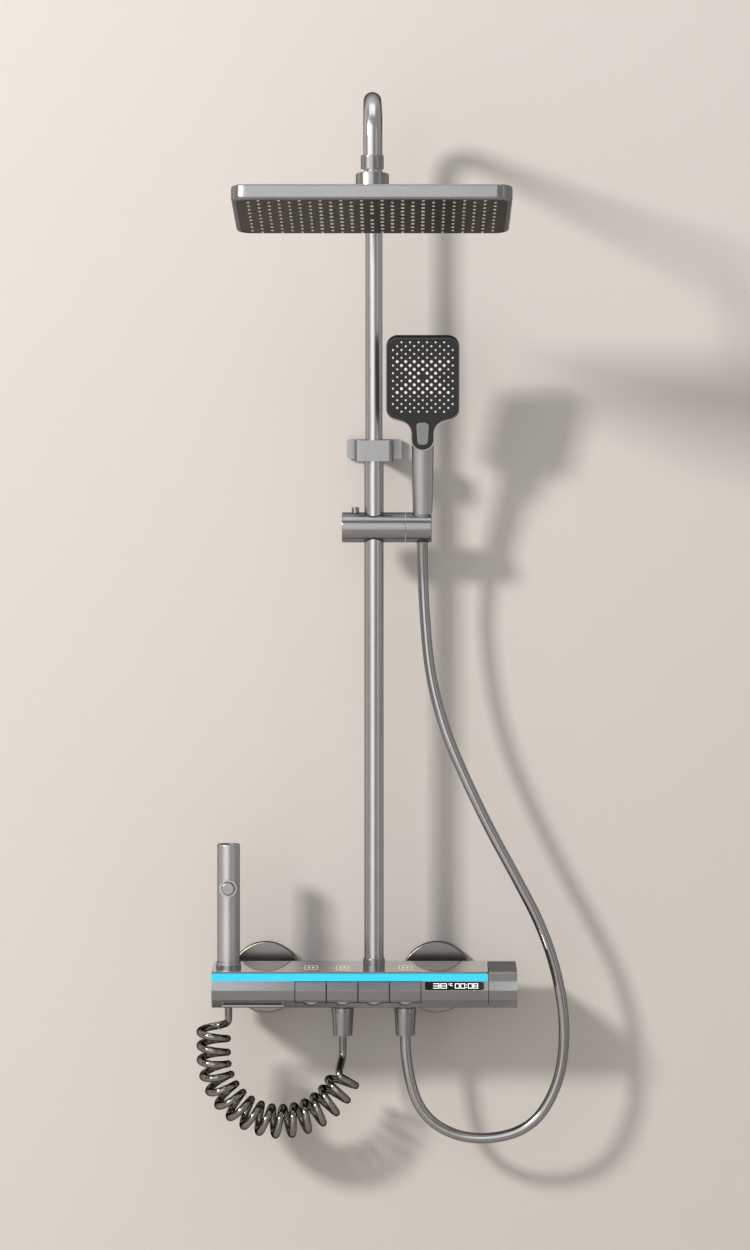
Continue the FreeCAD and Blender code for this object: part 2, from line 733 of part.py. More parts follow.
def push_cartridges():
    """One push valve behind each key, ending short of the key's peg."""
    group = []
    for number in range(KEY_COUNT):
        x = key_centre(number)
        barrel = rod_out(x, CARTRIDGE_BACK, BULKHEAD_BACK - SEAM, CARTRIDGE_Z, CARTRIDGE_RADIUS)
        stem = rod_out(x, BULKHEAD_BACK - 1, PEG_END - CARTRIDGE_STEM_GAP, PEG_Z, CARTRIDGE_STEM_RADIUS)
        group.append(together([barrel, stem]))
    return Part.makeCompound(group)


def mixing_cartridge():
    barrel = rod_x(MANIFOLD_RIGHT, BODY_RIGHT, MIXER_OUT, MIXER_Z, MIXER_RADIUS)
    bore_left = MANIFOLD_RIGHT + MIXER_BACK_WALL
    return barrel.cut(rod_x(bore_left, BODY_RIGHT + 1, MIXER_OUT, MIXER_Z, SPINDLE_RADIUS + FIT))


def generator_case():
    """A small water turbine housing that feeds the light and the display."""
    case = rod_x(GENERATOR_LEFT, MANIFOLD_LEFT, GENERATOR_OUT, MIXER_Z, GENERATOR_RADIUS)
    room = rod_x(GENERATOR_LEFT + GENERATOR_BACK_WALL, MANIFOLD_LEFT + 1, GENERATOR_OUT, MIXER_Z,
                 GENERATOR_RADIUS - GENERATOR_WALL)
    bearing = rod_x(GENERATOR_LEFT + GENERATOR_WALL, GENERATOR_LEFT + GENERATOR_BACK_WALL + 1,
                    GENERATOR_OUT, MIXER_Z, ROTOR_SHAFT + FIT)
    return without(case, [room, bearing])


def turbine_rotor():
    shaft = rod_x(GENERATOR_LEFT + GENERATOR_WALL + ROTOR_GAP, MANIFOLD_LEFT - ROTOR_END_GAP, GENERATOR_OUT,
                  MIXER_Z, ROTOR_SHAFT)
    left = GENERATOR_LEFT + GENERATOR_BACK_WALL + ROTOR_END_GAP
    right = MANIFOLD_LEFT - GENERATOR_BACK_WALL
    hub = rod_x(left, right, GENERATOR_OUT, MIXER_Z, ROTOR_HUB)
    pieces = [shaft, hub]
    for turn in range(BLADE_COUNT):
        blade = block(left + 1, right - 1, GENERATOR_OUT - BLADE_THICK / 2, GENERATOR_OUT + BLADE_THICK / 2,
                      MIXER_Z, MIXER_Z + GENERATOR_RADIUS - GENERATOR_WALL - ROTOR_GAP)
        blade.rotate(point(0, GENERATOR_OUT, MIXER_Z), RIGHT, 360 / BLADE_COUNT * turn)
        pieces.append(blade)
    return together(pieces)


def gun_socket():
    sleeve = rod_z(GUN_X, GUN_OUT, BASE_Z, GLASS_TOP + 1, SOCKET_RADIUS)
    flange = rod_z(GUN_X, GUN_OUT, GLASS_TOP, GUN_FOOT, SOCKET_FLANGE_RADIUS)
    bore = rod_z(GUN_X, GUN_OUT, BASE_Z - 1, GUN_FOOT + 1, SOCKET_BORE)
    return together([sleeve, flange]).cut(bore)


def outlet_nipples():
    group = []
    for x in (BIDET_X, HAND_X):
        nipple = tube_z(x, OUTLET_OUT, MANIFOLD_BOTTOM - NIPPLE_LENGTH, MANIFOLD_BOTTOM, NIPPLE_RADIUS,
                        NARROW_WATERWAY)
        group.append(nipple)
    return Part.makeCompound(group)


# Wall side

def eccentric_unions():
    """S-unions from the wall centres to the wider valve centres."""
    group = []
    for side in (-1, 1):
        wall_x = side * WALL_PITCH / 2
        valve_x = side * VALVE_PITCH / 2
        stub = rod_out(wall_x, -WALL_THREAD_LENGTH, 1, 0, WALL_THREAD_RADIUS)
        web = offset_web(wall_x, valve_x, UNION_WEB_RADIUS, 0, UNION_WEB_FRONT)
        neck = rod_out(valve_x, UNION_WEB_FRONT - 1, UNION_END, INLET_Z, UNION_THREAD_RADIUS)
        body = together([stub, web, neck])
        room_front = UNION_WEB_FRONT - UNION_ROOM_WALL
        cutters = [rod_out(wall_x, -WALL_THREAD_LENGTH - 1, room_front, 0, WALL_THREAD_BORE),
                   offset_web(wall_x, valve_x, UNION_ROOM_RADIUS, UNION_ROOM_WALL, room_front),
                   rod_out(valve_x, UNION_ROOM_WALL + 1, UNION_END + 1, INLET_Z, UNION_BORE)]
        group.append(without(body, cutters))
    return Part.makeCompound(group)


def offset_web(wall_x, valve_x, radius, out0, out1):
    """A slab with round ends from a wall centre to a valve centre."""
    left, right = sorted([(wall_x, 0), (valve_x, INLET_Z)])
    corners = [(left[0], left[1] - radius, 0), (right[0], right[1] - radius, 0),
               (right[0], right[1] + radius, 0), (left[0], left[1] + radius, 0)]
    ends = [rod_out(x, out0, out1, z, radius) for x, z in (left, right)]
    return together(ends + [front_prism(corners, out0, out1)])


def union_nuts():
    group = []
    for side in (-1, 1):
        x = side * VALVE_PITCH / 2
        corners = []
        for corner in range(6):
            angle = math.radians(60 * corner)
            across = UNION_NUT_RADIUS * math.cos(angle)
            rise = UNION_NUT_RADIUS * math.sin(angle)
            corners.append((x + across, INLET_Z + rise, 0))
        nut = front_prism(corners, UNION_NUT_BACK, UNION_NUT_FRONT)
        shoulder = UNION_END + FLANGE_THICK
        thread = rod_out(x, UNION_NUT_BACK - 1, shoulder, INLET_Z, UNION_THREAD_RADIUS + FIT)
        passage = rod_out(x, shoulder - 1, UNION_NUT_FRONT + 1, INLET_Z, TAIL_RADIUS + SEAM)
        group.append(without(nut, [thread, passage]))
    return Part.makeCompound(group)


def wall_rosettes():
    group = []
    for side in (-1, 1):
        x = side * VALVE_PITCH / 2
        cup = rod_out(x, 0, ROSETTE_DEPTH, INLET_Z, ROSETTE_RADIUS)
        cup = soften(cup, ROSETTE_EDGE, lambda e: e.BoundBox.YMax < 0.01 - ROSETTE_DEPTH)
        inside = rod_out(x, -1, ROSETTE_DEPTH - ROSETTE_FACE, INLET_Z, ROSETTE_RADIUS - ROSETTE_WALL)
        hole = rod_out(x, -1, ROSETTE_DEPTH + 1, INLET_Z, UNION_THREAD_RADIUS + SEAM)
        group.append(without(cup, [inside, hole]))
    return Part.makeCompound(group)


# Riser and bracket

def riser_lower():
    return tube_z(RISER_X, RISER_OUT, MANIFOLD_TOP, RISER_TOP, RISER_RADIUS, RISER_BORE)


def riser_collar():
    top = GLASS_TOP + RISER_COLLAR_HEIGHT
    ring = rod_z(RISER_X, RISER_OUT, GLASS_TOP, top, RISER_COLLAR_RADIUS)
    ring = soften(ring, RISER_COLLAR_EDGE, lambda e: e.BoundBox.ZMin > top - 0.01)
    return ring.cut(rod_z(RISER_X, RISER_OUT, GLASS_TOP - 1, top + 1, RISER_RADIUS + FIT))


def bracket_plate():
    """The stepped plate against the wall."""
    base = front_prism(plate_corners(PLATE_WIDTH, PLATE_HEIGHT), 0, PLATE_BASE)
    step = front_prism(plate_corners(PLATE_WIDTH - PLATE_STEP_SIDE, PLATE_HEIGHT - PLATE_STEP_TOP),
                       PLATE_BASE, PLATE_DEPTH)
    plate = together([base, step])
    return plate.cut(rod_out(RISER_X, -1, PLATE_DEPTH + 1, BRACKET_Z, BRACKET_STEM + FIT))


def plate_corners(width, height):
    return [(RISER_X + u, BRACKET_Z + v, r) for u, v, r in rectangle(width, height, PLATE_CORNER)]


def bracket_arm():
    """A round stem with a blind hole for the stud in the wall."""
    stem = rod_out(RISER_X, 0, BRACKET_BACK + BRACKET_STEM_SEAT, BRACKET_Z, BRACKET_STEM)
    bore = rod_out(RISER_X, -1, STUD_BORE_DEPTH, BRACKET_Z, STUD_BORE_RADIUS)
    grub = rod_z(RISER_X, GRUB_OUT, BRACKET_Z - BRACKET_STEM - 1, BRACKET_Z, GRUB_RADIUS + FIT)
    return without(stem, [bore, grub])


def bracket_clamp():
    """The block that holds the lower tube from below and lets the upper tube through."""
    left = RISER_X - BRACKET_WIDTH / 2
    right = RISER_X + BRACKET_WIDTH / 2
    corners = [(left, BRACKET_BACK, BRACKET_BACK_ROUND), (right, BRACKET_BACK, BRACKET_BACK_ROUND),
               (right, BRACKET_FRONT, BRACKET_FRONT_ROUND), (left, BRACKET_FRONT, BRACKET_FRONT_ROUND)]
    low = BRACKET_Z - BRACKET_HEIGHT / 2
    wire = outline(corners, lambda x, out: point(x, out, low))
    body = Part.Face(wire).extrude(UP * BRACKET_HEIGHT)
    cutters = [rod_z(RISER_X, RISER_OUT, low - 1, RISER_TOP, RISER_RADIUS + FIT),
               rod_z(RISER_X, RISER_OUT, RISER_TOP, low + BRACKET_HEIGHT + 1, UPPER_RADIUS + SEAM),
               rod_out(RISER_X, BRACKET_BACK - 1, BRACKET_BACK + BRACKET_STEM_SEAT, BRACKET_Z,
                       BRACKET_STEM + FIT),
               rod_x(RISER_X, right + 1, RISER_OUT, LOCK_Z, GRUB_RADIUS + FIT)]
    return without(body, cutters)


def bracket_screws():
    """The grub screw under the stem and the lock screw at the side of the clamp."""
    grub = rod_z(RISER_X, GRUB_OUT, BRACKET_Z - BRACKET_STEM, BRACKET_Z - STUD_BORE_RADIUS - GRUB_GAP,
                 GRUB_RADIUS)
    side = RISER_X + BRACKET_WIDTH / 2
    end = side - LOCK_SINK
    lock = rod_x(RISER_X + UPPER_RADIUS + SEAM, end, RISER_OUT, LOCK_Z, GRUB_RADIUS)
    socket = rod_x(end - GRUB_SOCKET_DEPTH, end + 1, RISER_OUT, LOCK_Z, GRUB_SOCKET_RADIUS)
    return Part.makeCompound([grub, lock.cut(socket)])


# Overhead arm and rain head

def arm_route():
    return [point(RISER_X, RISER_OUT, UPPER_FOOT), point(RISER_X, RISER_OUT, ARM_Z),
            point(RISER_X, ARM_OUT, ARM_Z), point(RISER_X, ARM_OUT, ARM_END_Z)]


def bent_wire(points, radii):
    """Straight runs joined by tangent arcs of the given radii."""
    edges = []
    start = points[0]
    for i in range(1, len(points) - 1):
        back = (points[i - 1] - points[i]).normalize()
        ahead = (points[i + 1] - points[i]).normalize()
        half = back.getAngle(ahead) / 2
        reach = radii[i - 1] / math.tan(half)
        inward = (back + ahead).normalize()
        middle = points[i] + inward * (radii[i - 1] / math.sin(half) - radii[i - 1])
        first = points[i] + back * reach
        last = points[i] + ahead * reach
        edges.append(Part.LineSegment(start, first).toShape())
        edges.append(Part.Arc(first, middle, last).toShape())
        start = last
    edges.append(Part.LineSegment(start, points[-1]).toShape())
    return Part.Wire(edges)


def swept(path, radius):
    """A round bar along a wire."""
    first = path.OrderedEdges[0]
    begin = first.valueAt(first.FirstParameter)
    along = first.tangentAt(first.FirstParameter)
    ring = Part.Wire(Part.makeCircle(radius, begin, along))
    return Part.Solid(path.makePipeShell([ring], True, False))


def gooseneck():
    path = bent_wire(arm_route(), [ARM_BEND, ARM_BEND])
    return swept(path, UPPER_RADIUS).cut(swept(path, UPPER_BORE))


def riser_plug():
    """The sliding seal inside the lower tube, on which the upper tube turns."""
    low = UPPER_FOOT - PLUG_LENGTH
    piston = tube_z(RISER_X, RISER_OUT, low, UPPER_FOOT, RISER_BORE - FIT, PLUG_BORE)
    spigot = tube_z(RISER_X, RISER_OUT, UPPER_FOOT - 1, UPPER_FOOT + PLUG_SPIGOT, UPPER_BORE - FIT, PLUG_BORE)
    groove = tube_z(RISER_X, RISER_OUT, low + PLUG_GROOVE_LOW, low + PLUG_GROOVE_HIGH, RISER_BORE + 1,
                    RISER_BORE - PLUG_GROOVE_DEPTH)
    return together([piston, spigot]).cut(groove)


def arm_collar():
    collar = rod_z(RISER_X, ARM_OUT, ARM_COLLAR_BOTTOM, ARM_COLLAR_TOP, ARM_COLLAR_RADIUS)
    collar = soften(collar, ARM_COLLAR_EDGE, lambda e: e.BoundBox.ZMin > ARM_COLLAR_TOP - 0.01)
    return collar.cut(rod_z(RISER_X, ARM_OUT, ARM_COLLAR_BOTTOM - 1, ARM_COLLAR_TOP + 1, UPPER_RADIUS + FIT))


def ball_stem():
    pivot = point(RISER_X, ARM_OUT, BALL_Z)
    ball = Part.makeSphere(BALL_RADIUS, pivot)
    stem = rod_z(RISER_X, ARM_OUT, BALL_Z, ARM_END_Z, STEM_RADIUS)
    bore = rod_z(RISER_X, ARM_OUT, BALL_Z - BALL_RADIUS - 1, ARM_END_Z + 1, BALL_WATERWAY)
    return together([ball, stem]).cut(bore)


def ball_seat():
    """A thin round band between the ball and its nut."""
    pivot = point(RISER_X, ARM_OUT, BALL_Z)
    band = Part.makeSphere(SEAT_OUTER, pivot).cut(Part.makeSphere(BALL_RADIUS + BALL_GAP, pivot))
    return band.common(rod_z(RISER_X, ARM_OUT, BALL_Z + SEAT_LOW, BALL_Z + SEAT_HIGH, SEAT_OUTER + 1))


def tilted(shape):
    """The rain head is drawn level and then tipped about its ball, front edge up."""
    shape.rotate(point(RISER_X, ARM_OUT, BALL_Z), RIGHT, -HEAD_TILT)
    return shape


def head_nut():
    nut = rod_z(RISER_X, ARM_OUT, BALL_Z + HEAD_NUT_BOTTOM, BALL_Z + HEAD_NUT_TOP, HEAD_NUT_RADIUS)
    nut = soften(nut, HEAD_NUT_EDGE, lambda e: e.BoundBox.ZMin > BALL_Z + HEAD_NUT_TOP - 0.01)
    mouth = rod_z(RISER_X, ARM_OUT, BALL_Z, BALL_Z + HEAD_NUT_TOP + 1, HEAD_NUT_MOUTH)
    return tilted(without(nut, [ball_room(), mouth]))


def ball_room():
    return Part.makeSphere(SEAT_OUTER + BALL_GAP, point(RISER_X, ARM_OUT, BALL_Z))


def head_inside(gap, z):
    """Outline inside the rim of the rain head, drawn in by a gap."""
    inset = HEAD_WALL + gap
    return plan_wire(HEAD_WIDTH - 2 * inset, HEAD_DEPTH - 2 * inset, HEAD_CORNER - inset, RISER_X, ARM_OUT, z)


def head_shell():
    bottom = BALL_Z - HEAD_DROP
    top = bottom + HEAD_RIM
    outer = plan_wire(HEAD_WIDTH, HEAD_DEPTH, HEAD_CORNER, RISER_X, ARM_OUT, bottom)
    slab = Part.Face(outer).extrude(UP * HEAD_RIM)
    slab = soften(slab, HEAD_TOP_EDGE, lambda e: e.BoundBox.ZMin > top - 0.01)
    slab = soften(slab, HEAD_LIP_ROUND, lambda e: e.BoundBox.ZMax < bottom + 0.01)
    boss = cone_z(RISER_X, ARM_OUT, top - 1, BALL_Z + HEAD_NUT_BOTTOM, HEAD_BOSS_RADIUS, HEAD_NUT_RADIUS)
    chamber = Part.Face(head_inside(0, bottom - 1)).extrude(UP * (HEAD_RIM - HEAD_TOP_WALL + 1))
    waterway = rod_z(RISER_X, ARM_OUT, bottom, BALL_Z, HEAD_INLET)
    return tilted(without(together([slab, boss]), [chamber, ball_room(), waterway]))


def head_nozzle_places():
    """Staggered nozzle places on the spray plate with their radii; the middle ones are wider."""
    places = []
    columns = int((HEAD_WIDTH / 2 - NOZZLE_EDGE) / NOZZLE_STEP_X)
    rows = int((HEAD_DEPTH / 2 - NOZZLE_EDGE) / NOZZLE_STEP_Y)
    for i in range(-columns, columns + 1):
        for j in range(-rows, rows + 1):
            if (i + j) % 2 or (i == 0 and j == 0):
                continue
            wide = abs(i) <= WIDE_COLUMN_COUNT and abs(j) <= WIDE_ROW_COUNT
            radius = NOZZLE_WIDE_RADIUS if wide else NOZZLE_RADIUS
            places.append((RISER_X + i * NOZZLE_STEP_X, ARM_OUT + j * NOZZLE_STEP_Y, radius))
    return places


def spray_plate():
    bottom = BALL_Z - HEAD_DROP + PLATE_INSET
    outer = head_inside(SEAM, bottom)
    holes = [circle_z(x, out, bottom, radius + SEAM) for x, out, radius in head_nozzle_places()]
    return tilted(holed_plate(outer, holes, UP * PLATE_THICK))


def head_nozzles():
    """A silicone mat behind the plate whose nozzles stand through the holes."""
    low = BALL_Z - HEAD_DROP + PLATE_INSET + PLATE_THICK + SEAM
    mat = Part.Face(head_inside(MAT_GAP, low)).extrude(UP * MAT_THICK)
    tip = BALL_Z - HEAD_DROP + PLATE_INSET - NOZZLE_PROUD
    tips = [rod_z(x, out, tip, low, radius) for x, out, radius in head_nozzle_places()]
    return tilted(mat.multiFuse(tips))


# Slider and handset

def slider_body():
    barrel = rod_x(SLIDER_LEFT, SLIDER_RIGHT, RISER_OUT, SLIDER_Z, SLIDER_RADIUS)
    barrel = soften(barrel, SLIDER_EDGE, lambda e: e.BoundBox.XMax < SLIDER_LEFT + 0.01)
    over = SLIDER_Z + SLIDER_RADIUS + 1
    cutters = [rod_z(RISER_X, RISER_OUT, SLIDER_Z - SLIDER_RADIUS - 1, over, BUSH_RADIUS),
               rod_x(PIVOT_LEFT - SEAM, SLIDER_RIGHT + 1, RISER_OUT, SLIDER_Z, PIVOT_RADIUS + FIT),
               rod_z(RELEASE_X, RISER_OUT, SLIDER_Z + RELEASE_WELL, over, RELEASE_RADIUS + SEAM)]
    return without(barrel, cutters)


def slider_bush():
    ring = tube_z(RISER_X, RISER_OUT, SLIDER_Z - SLIDER_RADIUS, SLIDER_Z + SLIDER_RADIUS, BUSH_RADIUS,
                  RISER_RADIUS + FIT)
    return ring.common(rod_x(SLIDER_LEFT, SLIDER_RIGHT, RISER_OUT, SLIDER_Z, SLIDER_RADIUS))


def release_button():
    top = SLIDER_Z + SLIDER_RADIUS + RELEASE_PROUD
    button = rod_z(RELEASE_X, RISER_OUT, SLIDER_Z + RELEASE_FOOT, top, RELEASE_RADIUS)
    return soften(button, SLIDER_EDGE, lambda e: e.BoundBox.ZMin > SLIDER_Z + SLIDER_RADIUS)


def leaned(shape):
    """The handset and its holder are drawn upright and then leaned away from the wall."""
    shape.rotate(point(HANDSET_X, RISER_OUT, SLIDER_Z), RIGHT, HANDSET_LEAN)
    return shape


def lean_point(along):
    """A point on the leaning handset axis, measured from the slider axis."""
    angle = math.radians(HANDSET_LEAN)
    return point(HANDSET_X, RISER_OUT + along * math.sin(angle), SLIDER_Z + along * math.cos(angle))


def handset_holder():
    drum = rod_x(SLIDER_RIGHT + HOLDER_GAP, HOLDER_RIGHT, RISER_OUT, SLIDER_Z, SLIDER_RADIUS)
    drum = soften(drum, SLIDER_EDGE, lambda e: e.BoundBox.XMin > HOLDER_RIGHT - 0.01)
    slope = (CONE_TOP_RADIUS - CONE_BOTTOM_RADIUS) / (CONE_TOP - CONE_BOTTOM)
    reach = SLIDER_RADIUS / 3
    socket = cone_z(HANDSET_X, RISER_OUT, SLIDER_Z + CONE_BOTTOM - reach, SLIDER_Z + CONE_TOP + reach,
                    CONE_BOTTOM_RADIUS + SEAM - reach * slope, CONE_TOP_RADIUS + SEAM + reach * slope)
    slot = block(HANDSET_X, HOLDER_RIGHT + 1, RISER_OUT - HOLDER_SLOT / 2, RISER_OUT + HOLDER_SLOT / 2,
                 SLIDER_Z - SLIDER_RADIUS - 1, SLIDER_Z + SLIDER_RADIUS + 1)
    bore = rod_x(SLIDER_RIGHT, PIVOT_RIGHT, RISER_OUT, SLIDER_Z, PIVOT_RADIUS + FIT)
    return leaned(without(drum, [socket, slot, bore]))


def holder_pivot():
    return rod_x(PIVOT_LEFT, PIVOT_RIGHT, RISER_OUT, SLIDER_Z, PIVOT_RADIUS)


def handset_outline(inset):
    """Front outline of the head and neck; the corner list runs round from the tongue."""
    x = HANDSET_X
    neck = NECK_HALF - inset
    half = FACE_HALF - inset
    top = SLIDER_Z + HANDSET_TOP - inset
    shoulder = SLIDER_Z + SHOULDER_Z + inset
    throat = SLIDER_Z + THROAT_Z + inset
    low = SLIDER_Z + TONGUE_Z + inset
    tongue_round = neck - 0.5
    corner = HANDSET_CORNER - inset
    hollow = THROAT_ROUND + inset
    return [(x - neck, low, tongue_round), (x + neck, low, tongue_round), (x + neck, throat, hollow),
            (x + half, shoulder, corner), (x + half, top, corner), (x - half, top, corner),
            (x - half, shoulder, corner), (x - neck, throat, hollow)]


def handset_shell():
    head = front_prism(handset_outline(0), RISER_OUT + SHELL_BACK, RISER_OUT + SHELL_FRONT)
    head = soften(head, SHELL_BACK_ROUND, lambda e: e.BoundBox.YMin > -RISER_OUT - SHELL_BACK - 0.01)
    handle_top = SLIDER_Z + HANDLE_TOP_Z
    handle = cone_z(HANDSET_X, RISER_OUT, SLIDER_Z + CONE_TOP, handle_top, HANDLE_FOOT_RADIUS,
                    HANDLE_TOP_RADIUS)
    shoulder = Part.makeSphere(HANDLE_TOP_RADIUS, point(HANDSET_X, RISER_OUT, handle_top))
    body = together([head, handle, shoulder])
    front = RISER_OUT + SHELL_FRONT
    pocket = front_prism(handset_outline(FACE_INSET - SEAM), front - FACE_THICK, front + 1)
    back_room = front_prism(mat_corners(SPRAY_MAT_MARGIN + MAT_GAP), front - FACE_THICK - MAT_THICK - 1,
                            front)
    button_back = front - BUTTON_DEPTH - BUTTON_TRAVEL - BUTTON_GAP
    button_room = front_prism(button_corners(BUTTON_GAP), button_back, front)
    waterway = rod_z(HANDSET_X, RISER_OUT, SLIDER_Z, SLIDER_Z + HANDLE_WATERWAY_TOP, NARROW_WATERWAY)
    return leaned(without(body, [pocket, back_room, button_room, waterway]))


def button_corners(grow):
    low = SLIDER_Z + BUTTON_LOW - grow
    high = SLIDER_Z + BUTTON_HIGH + grow
    narrow = BUTTON_LOW_HALF + grow
    broad = BUTTON_HIGH_HALF + grow
    return [(HANDSET_X - narrow, low, BUTTON_CORNER), (HANDSET_X + narrow, low, BUTTON_CORNER),
            (HANDSET_X + broad, high, BUTTON_CORNER), (HANDSET_X - broad, high, BUTTON_CORNER)]


def mat_corners(grow):
    half_x = LATTICE_COLUMNS * LATTICE_X + grow
    half_z = LATTICE_ROWS * LATTICE_Z + grow
    middle = SLIDER_Z + FACE_MIDDLE
    return [(HANDSET_X + u, middle + v, r) for u, v, r in rectangle(2 * half_x, 2 * half_z, SPRAY_MAT_CORNER)]


def handset_nozzle_places():
    """Staggered nozzle places on the handset face; the wider ones form an hourglass."""
    places = []
    for j in range(-LATTICE_ROWS, LATTICE_ROWS + 1):
        for i in range(-LATTICE_COLUMNS, LATTICE_COLUMNS + 1):
            if (i + j) % 2 or (i == 0 and j == 0):
                continue
            if abs(j) == LATTICE_ROWS and abs(i) > LATTICE_COLUMNS - LATTICE_CORNER_COUNT:
                continue
            wide = abs(j) <= LATTICE_WIDE_ROW_COUNT and abs(i) <= abs(j) + 2
            radius = SPRAY_WIDE_RADIUS if wide else SPRAY_RADIUS
            places.append((HANDSET_X + i * LATTICE_X, SLIDER_Z + FACE_MIDDLE + j * LATTICE_Z, radius))
    return places


def handset_face():
    front = RISER_OUT + SHELL_FRONT
    back = front - FACE_THICK
    outer = outline(handset_outline(FACE_INSET), lambda x, z: point(x, back, z))
    holes = [outline(button_corners(BUTTON_GAP), lambda x, z: point(x, back, z))]
    for x, z, radius in handset_nozzle_places():
        holes.append(Part.Wire(Part.makeCircle(radius + SEAM, point(x, back, z), FRONT)))
    return leaned(holed_plate(outer, holes, FRONT * FACE_THICK))


def handset_nozzles():
    front = RISER_OUT + SHELL_FRONT
    back = front - FACE_THICK - SEAM
    mat = front_prism(mat_corners(SPRAY_MAT_MARGIN), back - MAT_THICK, back)
    tips = [rod_out(x, back, front + SPRAY_PROUD, z, radius) for x, z, radius in handset_nozzle_places()]
    return leaned(mat.multiFuse(tips))


def handset_button():
    front = RISER_OUT + SHELL_FRONT
    cap = front_prism(button_corners(0), front - BUTTON_DEPTH, front + BUTTON_PROUD)
    cap = soften(cap, BUTTON_EDGE, lambda e: e.BoundBox.YMax < -front - BUTTON_PROUD + 0.01)
    return leaned(cap)


def hose_cone():
    cone = cone_z(HANDSET_X, RISER_OUT, SLIDER_Z + CONE_BOTTOM, SLIDER_Z + CONE_TOP,
                  CONE_BOTTOM_RADIUS, CONE_TOP_RADIUS)
    bore = rod_z(HANDSET_X, RISER_OUT, SLIDER_Z + CONE_BOTTOM + CONE_FLOOR, SLIDER_Z + CONE_TOP + 1,
                 NARROW_WATERWAY)
    return leaned(cone.cut(bore))


# Hand spray

def gun_body():
    """The barrel stands on a flange with a narrow waist; a ring in front guides the button."""
    flange_top = GUN_FOOT + GUN_FOOT_HEIGHT
    barrel_foot = flange_top + GUN_WAIST_HEIGHT
    barrel = rod_z(GUN_X, GUN_OUT, barrel_foot, GUN_TOP, GUN_RADIUS)
    barrel = soften(barrel, GUN_TOP_EDGE, lambda e: e.BoundBox.ZMin > GUN_TOP - 0.01)
    flange = rod_z(GUN_X, GUN_OUT, GUN_FOOT, flange_top, GUN_FLANGE_RADIUS)
    waist = rod_z(GUN_X, GUN_OUT, flange_top - 1, barrel_foot + 1, GUN_WAIST_RADIUS)
    ring = rod_out(GUN_X, GUN_OUT + GUN_RING_ROOT, GUN_OUT + GUN_RADIUS + GUN_RING_PROUD, GUN_BUTTON_Z,
                   GUN_RING_RADIUS)
    front = GUN_OUT + GUN_RADIUS + GUN_BUTTON_PROUD
    cutters = [rod_out(GUN_X, GUN_OUT, front, GUN_BUTTON_Z, GUN_BUTTON_RADIUS + SEAM),
               rod_z(GUN_X, GUN_OUT, GUN_TOP - GUN_MOUTH_DEPTH, GUN_TOP + 1, GUN_RADIUS - GUN_MOUTH_WALL),
               rod_z(GUN_X, GUN_OUT, GUN_FOOT - 1, GUN_BUTTON_Z - GUN_RADIUS, GUN_WATERWAY)]
    return without(together([barrel, flange, waist, ring]), cutters)


def gun_nozzle():
    low = GUN_TOP - GUN_MOUTH_DEPTH
    high = GUN_TOP - GUN_NOZZLE_SINK
    disc = rod_z(GUN_X, GUN_OUT, low, high, GUN_RADIUS - GUN_MOUTH_WALL - FIT)
    holes = [rod_z(GUN_X, GUN_OUT, low - 1, high + 1, GUN_JET_RADIUS)]
    for jet in range(GUN_JET_COUNT):
        angle = 2 * math.pi * jet / GUN_JET_COUNT
        x = GUN_X + GUN_JET_CIRCLE * math.cos(angle)
        out = GUN_OUT + GUN_JET_CIRCLE * math.sin(angle)
        holes.append(rod_z(x, out, low - 1, high + 1, GUN_JET_RADIUS))
    return without(disc, holes)


def gun_tail():
    """The stem that drops into the socket, with the hose ferrule at its lower end."""
    ferrule_top = GUN_TAIL_BOTTOM + GUN_FERRULE_HEIGHT
    stem = rod_z(GUN_X, GUN_OUT, ferrule_top, GUN_FOOT, GUN_TAIL_RADIUS)
    ferrule = cone_z(GUN_X, GUN_OUT, GUN_TAIL_BOTTOM, ferrule_top, GUN_FERRULE_RADIUS, GUN_TAIL_RADIUS)
    bore = rod_z(GUN_X, GUN_OUT, ferrule_top, GUN_FOOT + 1, GUN_WATERWAY)
    return together([stem, ferrule]).cut(bore)


def gun_button():
    front = GUN_OUT + GUN_RADIUS + GUN_BUTTON_PROUD
    cap = rod_out(GUN_X, GUN_OUT + GUN_BUTTON_ROOT, front, GUN_BUTTON_Z, GUN_BUTTON_RADIUS)
    return soften(cap, GUN_BUTTON_EDGE, lambda e: e.BoundBox.YMax < 0.01 - front)


# Temperature handle

def temperature_handle():
    profile = [(BODY_BACK, GLASS_TOP, HANDLE_EDGE), (GLASS_OUT, GLASS_TOP, 0), (GLASS_OUT, GLASS_BOTTOM, 0),
               (STRIP_OUT + STRIP_LEAN, GLASS_BOTTOM, 0), (STRIP_OUT, STRIP_BOTTOM, 0),
               (NOSE_OUT, NOSE_Z, NOSE_EDGE), (BROW_OUT, BROW_Z, BROW_EDGE), (CHAMFER_OUT, BASE_Z, BASE_EDGE),
               (BODY_BACK, BASE_Z, BASE_EDGE)]
    left = BODY_RIGHT + HANDLE_GAP
    grip = side_prism(profile, left, left + HANDLE_LENGTH)
    bore = rod_x(left - 1, left + SPINDLE_REACH + SPINDLE_END_GAP, MIXER_OUT, MIXER_Z, SPINDLE_RADIUS + FIT)
    return grip.cut(bore)


def handle_spindle():
    left = MANIFOLD_RIGHT + MIXER_BACK_WALL + SPINDLE_END_GAP
    return rod_x(left, BODY_RIGHT + HANDLE_GAP + SPINDLE_REACH, MIXER_OUT, MIXER_Z, SPINDLE_RADIUS)


# Hoses


